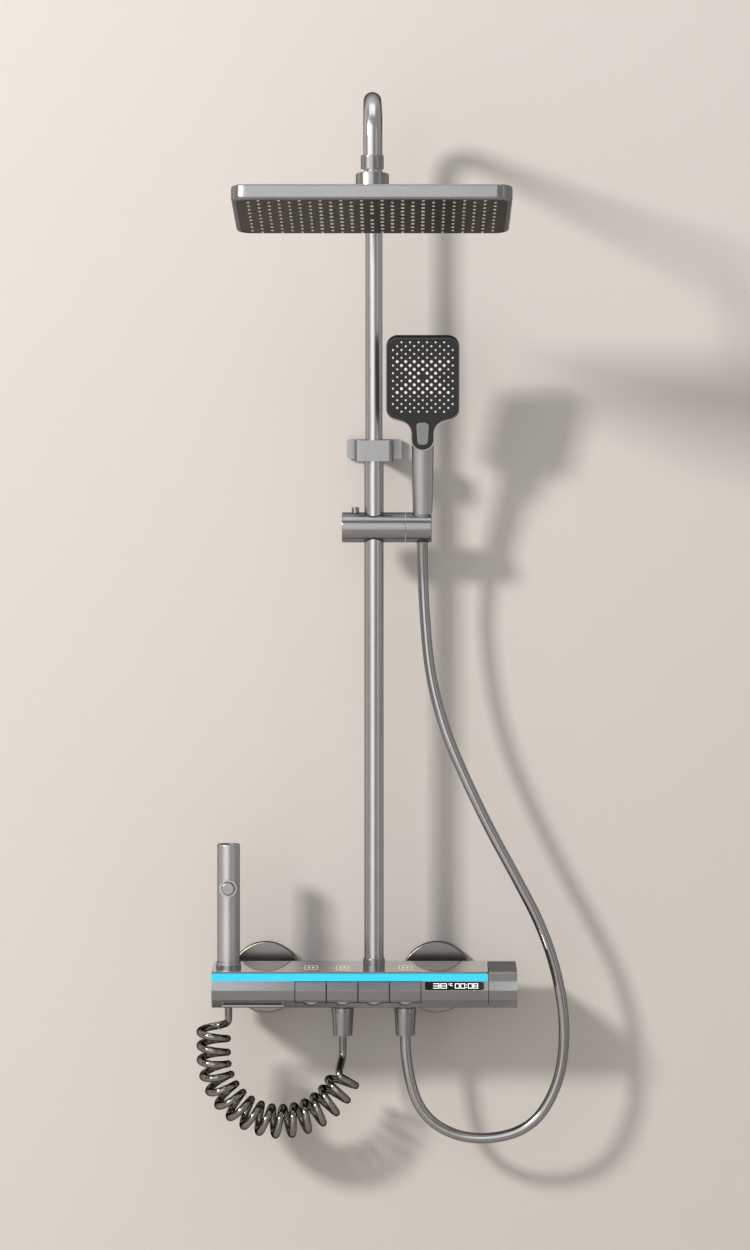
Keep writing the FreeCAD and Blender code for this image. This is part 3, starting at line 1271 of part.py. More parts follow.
def hose_points():
    """Corners of the smooth hose from the valve outlet round to the handset cone."""
    route = [(HAND_X, OUTLET_OUT, NUT_BOTTOM), (HAND_X, OUTLET_OUT, -97.0), (82.0, 73.0, -157.5),
             (136.5, 75.0, -184.5), (206.5, 77.0, -172.5), (240.5, 79.0, -120.0), (248.5, 80.0, -55.5),
             (240.0, 81.0, 6.0), (220.5, 82.0, 66.0), (191.0, 82.0, 122.0), (161.0, 81.0, 176.5),
             (133.5, 80.0, 233.5), (108.5, 78.0, 291.5), (92.0, 74.0, 352.5), (86.0, 70.0, 414.5)]
    points = [point(*corner) for corner in route]
    points.append(lean_point(CONE_BOTTOM - HOSE_TOP_RUN))
    points.append(lean_point(CONE_BOTTOM))
    return points


def hose_halves():
    """The hose is made in two lengths that meet in the middle of one straight run."""
    points = hose_points()
    lower = points[:LOWER_POINT_COUNT]
    upper = points[LOWER_POINT_COUNT:]
    meeting = (lower[-1] + upper[0]) * 0.5
    return lower + [meeting], [meeting] + upper


def turn_radii(points):
    radii = []
    for i in range(1, len(points) - 1):
        back = points[i - 1] - points[i]
        ahead = points[i + 1] - points[i]
        half_turn = (math.pi - back.getAngle(ahead)) / 2
        radii.append(0.45 * min(back.Length, ahead.Length) / math.tan(half_turn))
    return radii


def hose(points):
    radii = turn_radii(points)
    path = bent_wire(points, radii)
    solid = swept(path, HOSE_RADIUS)
    print("hose radii", [round(r) for r in radii], "length", round(path.Length, 1), "volume ratio",
          round(solid.Volume / (math.pi * HOSE_RADIUS ** 2 * path.Length), 4))
    return solid


def hose_nuts():
    group = []
    for x in (BIDET_X, HAND_X):
        flange = rod_z(x, OUTLET_OUT, NUT_FLANGE, NUT_TOP, NUT_FLANGE_RADIUS)
        cone = cone_z(x, OUTLET_OUT, NUT_BOTTOM, NUT_FLANGE, NUT_CONE_BOTTOM_RADIUS, NUT_CONE_TOP_RADIUS)
        thread = rod_z(x, OUTLET_OUT, NUT_TOP - NUT_THREAD_DEPTH, NUT_TOP + 1, NIPPLE_RADIUS + FIT)
        group.append(together([flange, cone]).cut(thread))
    return Part.makeCompound(group)


def coil_spine(distance):
    """Point and inward normal of the hanging U, at a distance along it from its left end."""
    straight = COIL_SPINE_TOP - COIL_BEND_Z
    total = straight + COIL_BEND * math.radians(COIL_SWEEP)
    out = GUN_OUT + (OUTLET_OUT - GUN_OUT) * distance / total
    if distance <= straight:
        return point(COIL_SPINE_X, out, COIL_SPINE_TOP - distance), FreeCAD.Vector(1, 0, 0)
    angle = math.pi + (distance - straight) / COIL_BEND
    outward = FreeCAD.Vector(math.cos(angle), 0, math.sin(angle))
    centre = point(COIL_SPINE_X + COIL_BEND, out, COIL_BEND_Z)
    return centre + outward * COIL_BEND, -outward


def coil_length():
    return COIL_SPINE_TOP - COIL_BEND_Z + COIL_BEND * math.radians(COIL_SWEEP)


def coil_point(turns):
    """A point on the coil after so many turns: inside, back, outside, front."""
    centre, inward = coil_spine(coil_length() * turns / COIL_TURNS)
    angle = 2 * math.pi * turns
    return centre + inward * (COIL_RADIUS * math.cos(angle)) - FRONT * (COIL_RADIUS * math.sin(angle))


def coil_heading(turns):
    step = 0.0005
    return (coil_point(turns + step) - coil_point(turns - step)).normalize()


def arc_between(start, heading, end):
    """The arc that leaves start along heading and reaches end, with its radius."""
    chord = end - start
    along = FreeCAD.Vector(chord).normalize()
    lean = heading.getAngle(along)
    if lean < 1e-4:
        return Part.LineSegment(start, end).toShape(), math.inf
    side = (heading - along * heading.dot(along)).normalize()
    middle = start + chord * 0.5 + side * (chord.Length / 2 * math.tan(lean / 2))
    return Part.Arc(start, middle, end).toShape(), chord.Length / 2 / math.sin(lean)


def biarc(start, heading, end, arrival):
    """Two arcs that join two points with given headings, and the smaller radius."""
    gap = end - start
    both = heading + arrival
    a = 2 * (1 - heading.dot(arrival))
    b = 2 * gap.dot(both)
    c = -gap.dot(gap)
    if a < 1e-9:
        reach = -c / b
    else:
        reach = (-b + math.sqrt(b * b - 4 * a * c)) / (2 * a)
    meeting = (start + heading * reach + end - arrival * reach) * 0.5
    first, radius_one = arc_between(start, heading, meeting)
    back, radius_two = arc_between(end, -arrival, meeting)
    second = Part.LineSegment(meeting, end).toShape()
    if radius_two < math.inf:
        half_way = back.valueAt((back.FirstParameter + back.LastParameter) / 2)
        second = Part.Arc(meeting, half_way, end).toShape()
    return [first, second], min(radius_one, radius_two)


def coil_stations():
    """Points and headings along the whole curly hose, leads included."""
    stations = [(point(GUN_X, GUN_OUT, GUN_TAIL_BOTTOM), DOWN),
                (point(GUN_X, GUN_OUT, LEFT_LEAD_BOTTOM), DOWN)]
    quarters = 4 * COIL_TURNS
    for quarter in range(1, quarters):
        turns = quarter / 4
        stations.append((coil_point(turns), coil_heading(turns)))
    stations.append((point(BIDET_X, OUTLET_OUT, RIGHT_LEAD_BOTTOM), UP))
    stations.append((point(BIDET_X, OUTLET_OUT, NUT_BOTTOM), UP))
    return stations


def coil_hose():
    stations = coil_stations()
    edges = [Part.LineSegment(stations[0][0], stations[1][0]).toShape()]
    radii = []
    for before, after in zip(stations[1:-2], stations[2:-1]):
        pair, radius = biarc(before[0], before[1], after[0], after[1])
        edges.extend(pair)
        radii.append(radius)
    edges.append(Part.LineSegment(stations[-2][0], stations[-1][0]).toShape())
    path = Part.Wire(edges)
    solid = swept(path, COIL_WIRE_RADIUS)
    print("coil least radius", round(min(radii), 1), "length", round(path.Length, 1), "volume ratio",
          round(solid.Volume / (math.pi * COIL_WIRE_RADIUS ** 2 * path.Length), 4),
          "gap to itself", round(least_gap(path), 2))
    return solid


def least_gap(path):
    """Least distance between points of the path that lie well apart along it, less one wire."""
    points = path.discretize(Distance=2.0)
    skip = 20
    least = math.inf
    for i, first in enumerate(points):
        for second in points[i + skip:]:
            least = min(least, first.distanceToPoint(second))
    return least - 2 * COIL_WIRE_RADIUS


def save(name, shape):
    if not shape.isValid() or shape.Volume <= 0:
        print("bad shape", name, shape.isValid(), shape.Volume)
    shape.exportStep("parts/" + name + ".step")


LOWER_HOSE, UPPER_HOSE = hose_halves()
KEY_NAMES = ("key_bath", "key_bidet", "key_overhead", "key_handset")

PARTS = {
    "valve_housing": valve_housing, "top_glass": top_glass, "light_strip": light_strip,
    "fascia_left": fascia_left, "fascia_display": fascia_display,
    "display_window": lambda: display_block(0), "display_board": display_board, "key_axle": key_axle,
    "bottom_cover": bottom_cover, "cover_screws": cover_screws, "water_manifold": water_manifold,
    "push_cartridges": push_cartridges, "mixing_cartridge": mixing_cartridge,
    "generator_case": generator_case, "turbine_rotor": turbine_rotor, "bath_spout": bath_spout,
    "gun_socket": gun_socket, "outlet_nipples": outlet_nipples, "eccentric_unions": eccentric_unions,
    "union_nuts": union_nuts, "wall_rosettes": wall_rosettes,
    "riser_lower": riser_lower, "riser_collar": riser_collar, "bracket_plate": bracket_plate,
    "bracket_arm": bracket_arm, "bracket_clamp": bracket_clamp, "bracket_screws": bracket_screws,
    "gooseneck": gooseneck, "riser_plug": riser_plug, "arm_collar": arm_collar, "ball_stem": ball_stem,
    "ball_seat": ball_seat, "head_nut": head_nut, "head_shell": head_shell, "spray_plate": spray_plate,
    "head_nozzles": head_nozzles, "slider_body": slider_body, "slider_bush": slider_bush,
    "release_button": release_button, "handset_holder": handset_holder, "holder_pivot": holder_pivot,
    "handset_shell": handset_shell, "handset_face": handset_face, "handset_nozzles": handset_nozzles,
    "handset_button": handset_button, "hose_cone": hose_cone, "gun_body": gun_body,
    "gun_nozzle": gun_nozzle, "gun_tail": gun_tail, "gun_button": gun_button,
    "temperature_handle": temperature_handle, "handle_spindle": handle_spindle,
    "hand_hose": lambda: hose(LOWER_HOSE), "hand_hose_top": lambda: hose(UPPER_HOSE),
    "hose_nuts": hose_nuts, "coil_hose": coil_hose,
}

for part_name, make in PARTS.items():
    save(part_name, make())
for number, part_name in enumerate(KEY_NAMES):
    save(part_name, key(number))
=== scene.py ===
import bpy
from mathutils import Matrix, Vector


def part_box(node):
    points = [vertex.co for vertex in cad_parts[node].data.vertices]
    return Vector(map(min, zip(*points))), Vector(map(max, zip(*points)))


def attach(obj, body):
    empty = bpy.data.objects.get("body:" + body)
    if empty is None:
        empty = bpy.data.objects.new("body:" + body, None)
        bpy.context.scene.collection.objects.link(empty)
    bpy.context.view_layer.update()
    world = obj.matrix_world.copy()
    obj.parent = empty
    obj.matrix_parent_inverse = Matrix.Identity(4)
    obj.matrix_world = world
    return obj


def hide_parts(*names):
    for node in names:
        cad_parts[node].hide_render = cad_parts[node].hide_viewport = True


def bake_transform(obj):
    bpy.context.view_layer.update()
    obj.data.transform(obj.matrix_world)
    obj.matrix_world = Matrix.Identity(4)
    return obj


bl_info = {
    "name": "Shower system",
    "version": (1, 0, 0),
    "blender": (4, 5, 0),
    "location": "View3D > Sidebar > Shower",
    "description": "Dresses the solid parts of a wall-mounted shower system",
    "category": "Object",
}

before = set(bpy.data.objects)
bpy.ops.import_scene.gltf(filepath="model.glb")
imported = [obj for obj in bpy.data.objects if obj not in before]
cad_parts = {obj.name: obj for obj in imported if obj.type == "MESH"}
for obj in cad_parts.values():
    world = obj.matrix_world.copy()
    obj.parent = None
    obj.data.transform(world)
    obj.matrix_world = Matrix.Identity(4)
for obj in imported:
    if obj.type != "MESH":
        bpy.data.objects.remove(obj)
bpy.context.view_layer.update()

import math

import bpy
from mathutils import Matrix, Vector

MM = 0.001


class ShowerSizes(bpy.types.PropertyGroup):
    """Sizes of the dressed pieces, in millimetres unless the name says otherwise."""

    hose_diameter: bpy.props.FloatProperty(default=12.0)
    hose_stub: bpy.props.FloatProperty(default=45.0)
    stub_diameter: bpy.props.FloatProperty(default=5.6)
    curl_diameter: bpy.props.FloatProperty(default=8.5)
    curl_radius: bpy.props.FloatProperty(default=15.85)
    curl_turns: bpy.props.IntProperty(default=16)
    curl_steps: bpy.props.IntProperty(default=24)
    spine_top: bpy.props.FloatProperty(default=-46.0)
    spine_x: bpy.props.FloatProperty(default=-157.7)
    spine_bend: bpy.props.FloatProperty(default=77.7)
    spine_bend_z: bpy.props.FloatProperty(default=-82.0)
    spine_sweep_deg: bpy.props.FloatProperty(default=162.0)
    spray_x: bpy.props.FloatProperty(default=-140.5)
    spray_out: bpy.props.FloatProperty(default=98.0)
    spray_tail: bpy.props.FloatProperty(default=-25.0)
    left_lead: bpy.props.FloatProperty(default=-34.0)
    right_lead: bpy.props.FloatProperty(default=-78.0)
    outlet_x: bpy.props.FloatProperty(default=-9.25)
    outlet_out: bpy.props.FloatProperty(default=72.0)
    nut_bottom: bpy.props.FloatProperty(default=-61.4)
    lean_deg: bpy.props.FloatProperty(default=12.0)
    handset_x: bpy.props.FloatProperty(default=83.0)
    slider_out: bpy.props.FloatProperty(default=80.0)
    slider_z: bpy.props.FloatProperty(default=526.3)
    nose_out: bpy.props.FloatProperty(default=146.0)
    strip_out: bpy.props.FloatProperty(default=138.0)
    strip_bottom: bpy.props.FloatProperty(default=9.75)
    # width of the painted shade line at each side of a seam between keys
    painted_seam_shade_width: bpy.props.FloatProperty(default=1.0)
    figure_height: bpy.props.FloatProperty(default=6.6)
    figure_stroke: bpy.props.FloatProperty(default=0.66)
    figure_thick: bpy.props.FloatProperty(default=0.16)
    glass_top: bpy.props.FloatProperty(default=20.7)
    sign_out: bpy.props.FloatProperty(default=104.0)
    sign_width: bpy.props.FloatProperty(default=15.0)
    sign_depth: bpy.props.FloatProperty(default=34.0)


class ShowerColours(bpy.types.PropertyGroup):
    """Colours as the eye sees them, in hexadecimal."""

    metal: bpy.props.StringProperty(default="#969697")
    metal_shade: bpy.props.StringProperty(default="#929293")
    pale_edge: bpy.props.StringProperty(default="#A2A2A3")
    dark_edge: bpy.props.StringProperty(default="#3C3C3D")
    tube: bpy.props.StringProperty(default="#BABABB")
    grip: bpy.props.StringProperty(default="#B8B8B9")
    # painted shade on the rim round the handset's head
    painted_rim_shade: bpy.props.StringProperty(default="#5E5E5F")
    # painted shade: the dark line drawn along the gaps between the keys
    seam: bpy.props.StringProperty(default="#1E1E1F")
    rosette: bpy.props.StringProperty(default="#827F7C")
    plate: bpy.props.StringProperty(default="#6E6862")
    glass: bpy.props.StringProperty(default="#55565A")
    light: bpy.props.StringProperty(default="#2FCDEC")
    unlit: bpy.props.StringProperty(default="#0C3C46")
    black: bpy.props.StringProperty(default="#0F1011")
    charcoal: bpy.props.StringProperty(default="#121515")
    silicone: bpy.props.StringProperty(default="#EDEBE8")
    white: bpy.props.StringProperty(default="#F2F4F4")
    hose: bpy.props.StringProperty(default="#A2A2A3")
    curl: bpy.props.StringProperty(default="#8F8C88")
    brass: bpy.props.StringProperty(default="#B08D57")
    steel: bpy.props.StringProperty(default="#B4B6B8")
    board: bpy.props.StringProperty(default="#1F3B2A")
    wall: bpy.props.StringProperty(default="#C6C2BE")
    surround: bpy.props.StringProperty(default="#AFABA7")


def sizes():
    return bpy.context.scene.shower_sizes


def colours():
    return bpy.context.scene.shower_colours


def linear(hex_colour):
    """A hexadecimal colour as the linear values that sockets take."""
    channels = []
    for start in (1, 3, 5):
        value = int(hex_colour[start:start + 2], 16) / 255
        channels.append(value / 12.92 if value <= 0.04045 else ((value + 0.055) / 1.055) ** 2.4)
    return (*channels, 1.0)


# Materials

def new_material(name):
    made = bpy.data.materials.new(name)
    made.use_nodes = True
    return made, made.node_tree, made.node_tree.nodes["Principled BSDF"]


def noise(tree, grain_mm, detail):
    """A noise whose grains are so many millimetres wide, on the object's own coordinates."""
    place = tree.nodes.new("ShaderNodeTexCoord")
    texture = tree.nodes.new("ShaderNodeTexNoise")
    texture.inputs["Scale"].default_value = 1 / (grain_mm * MM)
    texture.inputs["Detail"].default_value = detail
    tree.links.new(place.outputs["Object"], texture.inputs["Vector"])
    return texture.outputs["Fac"]


def spread_range(tree, source, low, high):
    """Turns the middle part of a noise into values between two limits."""
    node = tree.nodes.new("ShaderNodeMapRange")
    node.inputs["From Min"].default_value = 0.3
    node.inputs["From Max"].default_value = 0.7
    node.inputs["To Min"].default_value = low
    node.inputs["To Max"].default_value = high
    tree.links.new(source, node.inputs["Value"])
    return node.outputs["Result"]


def blend_colours(tree, source, first, second):
    node = tree.nodes.new("ShaderNodeMix")
    node.data_type = "RGBA"
    node.inputs["A"].default_value = linear(first) if isinstance(first, str) else first
    node.inputs["B"].default_value = linear(second) if isinstance(second, str) else second
    tree.links.new(source, node.inputs["Factor"])
    return node.outputs["Result"]


def fine_bump(tree, surface, source, height_mm):
    node = tree.nodes.new("ShaderNodeBump")
    node.inputs["Strength"].default_value = 0.3
    node.inputs["Distance"].default_value = height_mm * MM
    tree.links.new(source, node.inputs["Height"])
    tree.links.new(node.outputs["Normal"], surface.inputs["Normal"])


def metal(name, colour, shade, edge, rough_low, rough_high):
    """Plated metal with its own tone at the edges and a slight cloudiness in tone and polish."""
    made, tree, surface = new_material(name)
    cloud = noise(tree, 60.0, 2.0)
    grain = noise(tree, 6.0, 2.0)
    tone = blend_colours(tree, spread_range(tree, cloud, 0, 1), colour, shade)
    tree.links.new(tone, surface.inputs["Base Color"])
    tree.links.new(spread_range(tree, grain, rough_low, rough_high), surface.inputs["Roughness"])
    surface.inputs["Metallic"].default_value = 1.0
    surface.inputs["Specular Tint"].default_value = linear(edge)
    return made


def plastic(name, colour, shade, rough_low, rough_high, coat):
    """Moulded plastic or rubber with a faint texture."""
    made, tree, surface = new_material(name)
    grain = noise(tree, 1.5, 3.0)
    tone = blend_colours(tree, spread_range(tree, grain, 0, 1), colour, shade)
    tree.links.new(tone, surface.inputs["Base Color"])
    tree.links.new(spread_range(tree, grain, rough_low, rough_high), surface.inputs["Roughness"])
    surface.inputs["Coat Weight"].default_value = coat
    surface.inputs["Coat Roughness"].default_value = 0.05
    fine_bump(tree, surface, grain, 0.02)
    return made


def satin_metal():
    c = colours()
    return metal("satin gun-metal plating", c.metal, c.metal_shade, c.pale_edge, 0.24, 0.26)


def tube_metal():
    return metal("polished gun-metal tube", colours().tube, "#B6B6B7", colours().dark_edge, 0.24, 0.26)


def grip_metal():
    return metal("pale satin grip", colours().grip, "#B4B4B5", colours().dark_edge, 0.38, 0.4)


def own_axis(tree, axis):
    """One of the object's own coordinates, in metres."""
    place = tree.nodes.new("ShaderNodeTexCoord")
    split = tree.nodes.new("ShaderNodeSeparateXYZ")
    tree.links.new(place.outputs["Object"], split.inputs["Vector"])
    return split.outputs[axis]


def second_tone(made, source, start, end, colour):
    """Lets a material's own tone pass into a second one as the source goes from start to end."""
    tree = made.node_tree
    surface = tree.nodes["Principled BSDF"]
    share = tree.nodes.new("ShaderNodeMapRange")
    share.inputs["From Min"].default_value = start
    share.inputs["From Max"].default_value = end
    tree.links.new(source, share.inputs["Value"])
    first = surface.inputs["Base Color"].links[0].from_socket
    both = blend_colours(tree, share.outputs["Result"], colour, colour)
    tree.links.new(first, both.node.inputs["A"])
    tree.links.new(both, surface.inputs["Base Color"])


# Shares of the handset's height where the grip's tone ends and the painted shade of the head's rim is fully
# reached
GRIP_SHARE = 0.5
RIM_SHADE_SHARE = 0.58


def handset_metal():
    """The pale grip below turns into a darker rim round the head; the darker rim is painted shade."""
    made = metal("handset plating with painted rim shade", colours().grip, "#B4B4B5", colours().dark_edge, 0.38, 0.4)
    low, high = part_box("handset_shell")
    length = high[2] - low[2]
    grip_end = low[2] + GRIP_SHARE * length
    rim_shade_start = low[2] + RIM_SHADE_SHARE * length
    # paints shade on the head, darker from the grip's end up to the rim
    second_tone(made, own_axis(made.node_tree, "Z"), grip_end, rim_shade_start, colours().painted_rim_shade)
    return made


def key_metal():
    """Satin plating with painted shade: a dark line along the seams at both sides of each key, where the gaps
    lie in shadow.
    """
    c = colours()
    made = metal("satin key plating with painted seam shade", c.metal, c.metal_shade, c.pale_edge, 0.24, 0.26)
    tree = made.node_tree
    first_low, first_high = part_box("key_bath")
    next_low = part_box("key_bidet")[0]
    pitch = abs(next_low[0] - first_low[0])
    seam = pitch - (first_high[0] - first_low[0])
    shift = tree.nodes.new("ShaderNodeMath")
    shift.operation = "SUBTRACT"
    shift.inputs[1].default_value = first_low[0] - seam / 2
    tree.links.new(own_axis(tree, "X"), shift.inputs[0])
    apart = tree.nodes.new("ShaderNodeMath")
    apart.operation = "PINGPONG"
    apart.inputs[1].default_value = pitch / 2
    tree.links.new(shift.outputs["Value"], apart.inputs[0])
    # paints shade along each seam between keys, darkest at the gap itself
    second_tone(made, apart.outputs["Value"], sizes().painted_seam_shade_width * MM, sizes().painted_seam_shade_width * MM / 2, c.seam)
    return made


def rosette_metal():
    return metal("turned rosette plating", colours().rosette, "#7E7B78", colours().dark_edge, 0.24, 0.26)


def plate_metal():
    return metal("dark plated spray plate", colours().plate, "#6A645E", colours().pale_edge, 0.34, 0.36)


def steel():
    return metal("turned stainless steel", colours().steel, "#A6A8AA", colours().pale_edge, 0.2, 0.3)


def brass():
    return metal("machined brass", colours().brass, "#A07F4B", colours().brass, 0.25, 0.4)


def mirror_glass():
    made, tree, surface = new_material("grey mirror glass")
    cloud = noise(tree, 40.0, 2.0)
    tree.links.new(blend_colours(tree, spread_range(tree, cloud, 0, 1), colours().glass, "#515256"),
                   surface.inputs["Base Color"])
    tree.links.new(spread_range(tree, cloud, 0.03, 0.06), surface.inputs["Roughness"])
    surface.inputs["Metallic"].default_value = 0.85
    surface.inputs["Coat Weight"].default_value = 1.0
    surface.inputs["Coat Roughness"].default_value = 0.02
    return made


def lit_diffuser():
    made, tree, surface = new_material("lit frosted diffuser")
    cloud = noise(tree, 30.0, 2.0)
    tone = blend_colours(tree, spread_range(tree, cloud, 0, 1), colours().light, "#2AC8E8")
    surface.inputs["Base Color"].default_value = linear(colours().unlit)
    tree.links.new(tone, surface.inputs["Emission Color"])
    surface.inputs["Emission Strength"].default_value = 1.1
    surface.inputs["Roughness"].default_value = 0.4
    return made


def lit_white():
    made, tree, surface = new_material("lit display segment")
    grain = noise(tree, 2.0, 2.0)
    tone = blend_colours(tree, spread_range(tree, grain, 0, 1), colours().white, "#E4ECEE")
    tree.links.new(tone, surface.inputs["Base Color"])
    tree.links.new(tone, surface.inputs["Emission Color"])
    surface.inputs["Emission Strength"].default_value = 0.9
    return made


def hose_film():
    return metal("smooth metallic hose film", colours().hose, "#9E9E9F", colours().dark_edge, 0.15, 0.17)


def curl_film():
    return metal("black chrome curly hose", colours().curl, "#8A8783", colours().dark_edge, 0.06, 0.08)


def dress(names, made):
    for name in names:
        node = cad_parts[name]
        node.data.materials.clear()
        node.data.materials.append(made)


def dress_piece(piece, made):
    piece.data.materials.clear()
    piece.data.materials.append(made)


SATIN = ("valve_housing", "fascia_left", "fascia_display", "temperature_handle", "bath_spout", "gun_socket",
         "riser_collar", "bracket_plate", "bracket_clamp", "bracket_arm", "slider_body", "handset_holder",
         "head_shell", "head_nut", "arm_collar", "gun_button", "hose_nuts", "release_button")
KEYS = ("key_bath", "key_bidet", "key_overhead", "key_handset")
GRIPS = ("gun_body",)
TUBES = ("gooseneck", "riser_lower")
STEEL = ("key_axle", "cover_screws", "bracket_screws", "handle_spindle", "holder_pivot", "ball_stem")
BRASS = ("water_manifold", "outlet_nipples", "eccentric_unions", "union_nuts", "riser_plug")
BLACK = ("bottom_cover", "push_cartridges", "mixing_cartridge", "generator_case", "ball_seat", "slider_bush",
         "gun_tail", "gun_nozzle")


class ShowerSolids(bpy.types.Operator):
    """Give every solid part its material"""

    bl_idname = "shower.solids"
    bl_label = "Dress the solid parts"

    def execute(self, context):
        dress(SATIN, satin_metal())
        dress(KEYS, key_metal())
        dress(GRIPS, grip_metal())
        dress(("handset_shell",), handset_metal())
        dress(TUBES, tube_metal())
        dress(("wall_rosettes",), rosette_metal())
        dress(("spray_plate",), plate_metal())
        dress(STEEL, steel())
        dress(BRASS, brass())
        dress(BLACK, plastic("black moulded plastic", "#2A2B2C", "#222324", 0.4, 0.55, 0.0))
        dress(("top_glass",), mirror_glass())
        dress(("light_strip",), lit_diffuser())
        dress(("display_window",),
              plastic("black display acrylic", colours().black, "#101112", 0.1, 0.14, 0.6))
        dress(("handset_face",),
              plastic("charcoal face plastic", colours().charcoal, "#171A1A", 0.35, 0.42, 0.1))
        dress(("head_nozzles", "handset_nozzles"),
              plastic("pale silicone", colours().silicone, "#E6E4E0", 0.45, 0.6, 0.0))
        dress(("handset_button", "hose_cone"), plastic("grey plastic", "#7D7F80", "#747677", 0.25, 0.35, 0.2))
        dress(("display_board",), plastic("coated circuit board", colours().board, "#1A3325", 0.35, 0.5, 0.3))
        dress(("turbine_rotor",), plastic("white moulded plastic", "#E6E6E2", "#DADAD5", 0.4, 0.5, 0.0))
        return {"FINISHED"}


# Hoses

def row_point(x, out, z):
    """A point of the shared frame, in metres, from millimetres and a distance from the wall."""
    return Vector((x, -out, z)) * MM


def lean_point(along):
    """A point on the leaning handset axis, so many millimetres up from the slider axis."""
    angle = math.radians(sizes().lean_deg)
    return row_point(sizes().handset_x, sizes().slider_out + along * math.sin(angle),
                     sizes().slider_z + along * math.cos(angle))


# Corners of the smooth hose: across, out from the wall and up, in millimetres
HOSE_ROUTE = ((62.95, 72.0, -61.4), (62.95, 72.0, -97.0), (82.0, 73.0, -157.5), (136.5, 75.0, -184.5),
              (206.5, 77.0, -172.5), (240.5, 79.0, -120.0), (248.5, 80.0, -55.5), (240.0, 81.0, 6.0),
              (220.5, 82.0, 66.0), (191.0, 82.0, 122.0), (161.0, 81.0, 176.5), (133.5, 80.0, 233.5),
              (108.5, 78.0, 291.5), (92.0, 74.0, 352.5), (86.0, 70.0, 414.5))
CONE_BOTTOM = -17.5
TOP_RUN = 34.0
HOSE_STEPS = 12
STUB_STEPS = 4
CURL_LINE_STEPS = 3
LEAD_BEND = 9


def hose_routes():
    """Control points of the lower and the upper length, which meet half way along one run."""
    points = [row_point(*corner) for corner in HOSE_ROUTE]
    meeting = (points[-2] + points[-1]) * 0.5
    upper = [meeting, points[-1], lean_point(CONE_BOTTOM - TOP_RUN), lean_point(CONE_BOTTOM)]
    return points[:-1] + [meeting], upper


def nurbs_line(name, points, steps):
    """A curve object whose control points are the given points."""
    data = bpy.data.curves.new(name, "CURVE")
    data.dimensions = "3D"
    data.resolution_u = steps
    data.use_fill_caps = True
    data.bevel_resolution = 5
    spline = data.splines.new("NURBS")
    spline.points.add(len(points) - 1)
    for place, point in zip(spline.points, points):
        place.co = (*point, 1.0)
    spline.order_u = 3
    spline.use_endpoint_u = True
    made = bpy.data.objects.new(name, data)
    bpy.context.scene.collection.objects.link(made)
    return made


def mesh_of(curve):
    graph = bpy.context.evaluated_depsgraph_get()
    graph.update()
    return bpy.data.meshes.new_from_object(curve.evaluated_get(graph))


def tube(name, points, diameter_mm, steps):
    """A mesh tube along control points, and the line that it follows."""
    curve = nurbs_line(name + " line", points, steps)
    line = [tuple(vertex.co) for vertex in mesh_of(curve).vertices]
    curve.data.bevel_depth = diameter_mm * MM / 2
    bpy.context.view_layer.update()
    skin = mesh_of(curve)
    bpy.data.objects.remove(curve)
    piece = bpy.data.objects.new(name, skin)
    bpy.context.scene.collection.objects.link(piece)
    for face in skin.polygons:
        face.use_smooth = True
    return piece, line


def length_of(line):
    total = 0.0
    for first, second in zip(line[:-1], line[1:]):
        total += (Vector(second) - Vector(first)).length
    return total


def last_run(line, reach_mm):
    """The end of a line, at least so many millimetres long."""
    count = 2
    while length_of(line[-count:]) < reach_mm * MM:
        count += 1
    return [Vector(point) for point in line[-count:]]


class ShowerHandHose(bpy.types.Operator):
    """Make the smooth hose from the valve to the handset, and the stub that lifts with the handset"""

    bl_idname = "shower.hand_hose"
    bl_label = "Make the smooth hose"

    def execute(self, context):
        film = hose_film()
        lower, upper = hose_routes()
        piece, line = tube("smooth_hose_lower", lower, sizes().hose_diameter, HOSE_STEPS)
        dress_piece(piece, film)
        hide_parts("hand_hose")
        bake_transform(piece)
        top, top_line = tube("smooth_hose_upper", upper, sizes().hose_diameter, HOSE_STEPS)
        dress_piece(top, film)
        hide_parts("hand_hose_top")
        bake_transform(top)
        stub = tube("hose_stub", last_run(top_line, sizes().hose_stub), sizes().stub_diameter, STUB_STEPS)[0]
        dress_piece(stub, film)
        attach(stub, "handset")
        return {"FINISHED"}


def curl_centre(share):
    """Centre of the coil and its inward normal, at a share of the way round the hanging U."""
    s = sizes()
    straight = s.spine_top - s.spine_bend_z
    total = straight + s.spine_bend * math.radians(s.spine_sweep_deg)
    distance = share * total
    out = s.spray_out + (s.outlet_out - s.spray_out) * share
    if distance <= straight:
        return row_point(s.spine_x, out, s.spine_top - distance), Vector((1, 0, 0))
    angle = math.pi + (distance - straight) / s.spine_bend
    outward = Vector((math.cos(angle), 0, math.sin(angle)))
    return row_point(s.spine_x + s.spine_bend, out, s.spine_bend_z) + outward * s.spine_bend * MM, -outward


def curl_point(turns):
    centre, inward = curl_centre(turns / sizes().curl_turns)
    angle = 2 * math.pi * turns
    return centre + (inward * math.cos(angle) + Vector((0, math.sin(angle), 0))) * sizes().curl_radius * MM


def curl_route():
    """Control points of the curly hose with its two straight leads."""
    s = sizes()
    down = Vector((0, 0, -LEAD_BEND)) * MM
    steps = s.curl_steps
    first = steps // 4
    last = s.curl_turns * steps - first
    coil = [curl_point(step / steps) for step in range(first, last + 1)]
    into = (coil[1] - coil[0]).normalized() * LEAD_BEND * MM
    away = (coil[-1] - coil[-2]).normalized() * LEAD_BEND * MM
    left = [row_point(s.spray_x, s.spray_out, s.spray_tail), row_point(s.spray_x, s.spray_out, s.left_lead)]
    right = [row_point(s.outlet_x, s.outlet_out, s.right_lead),
             row_point(s.outlet_x, s.outlet_out, s.nut_bottom)]
    return left + [left[1] + down, coil[0] - into] + coil + [coil[-1] + away, right[0] + down] + right


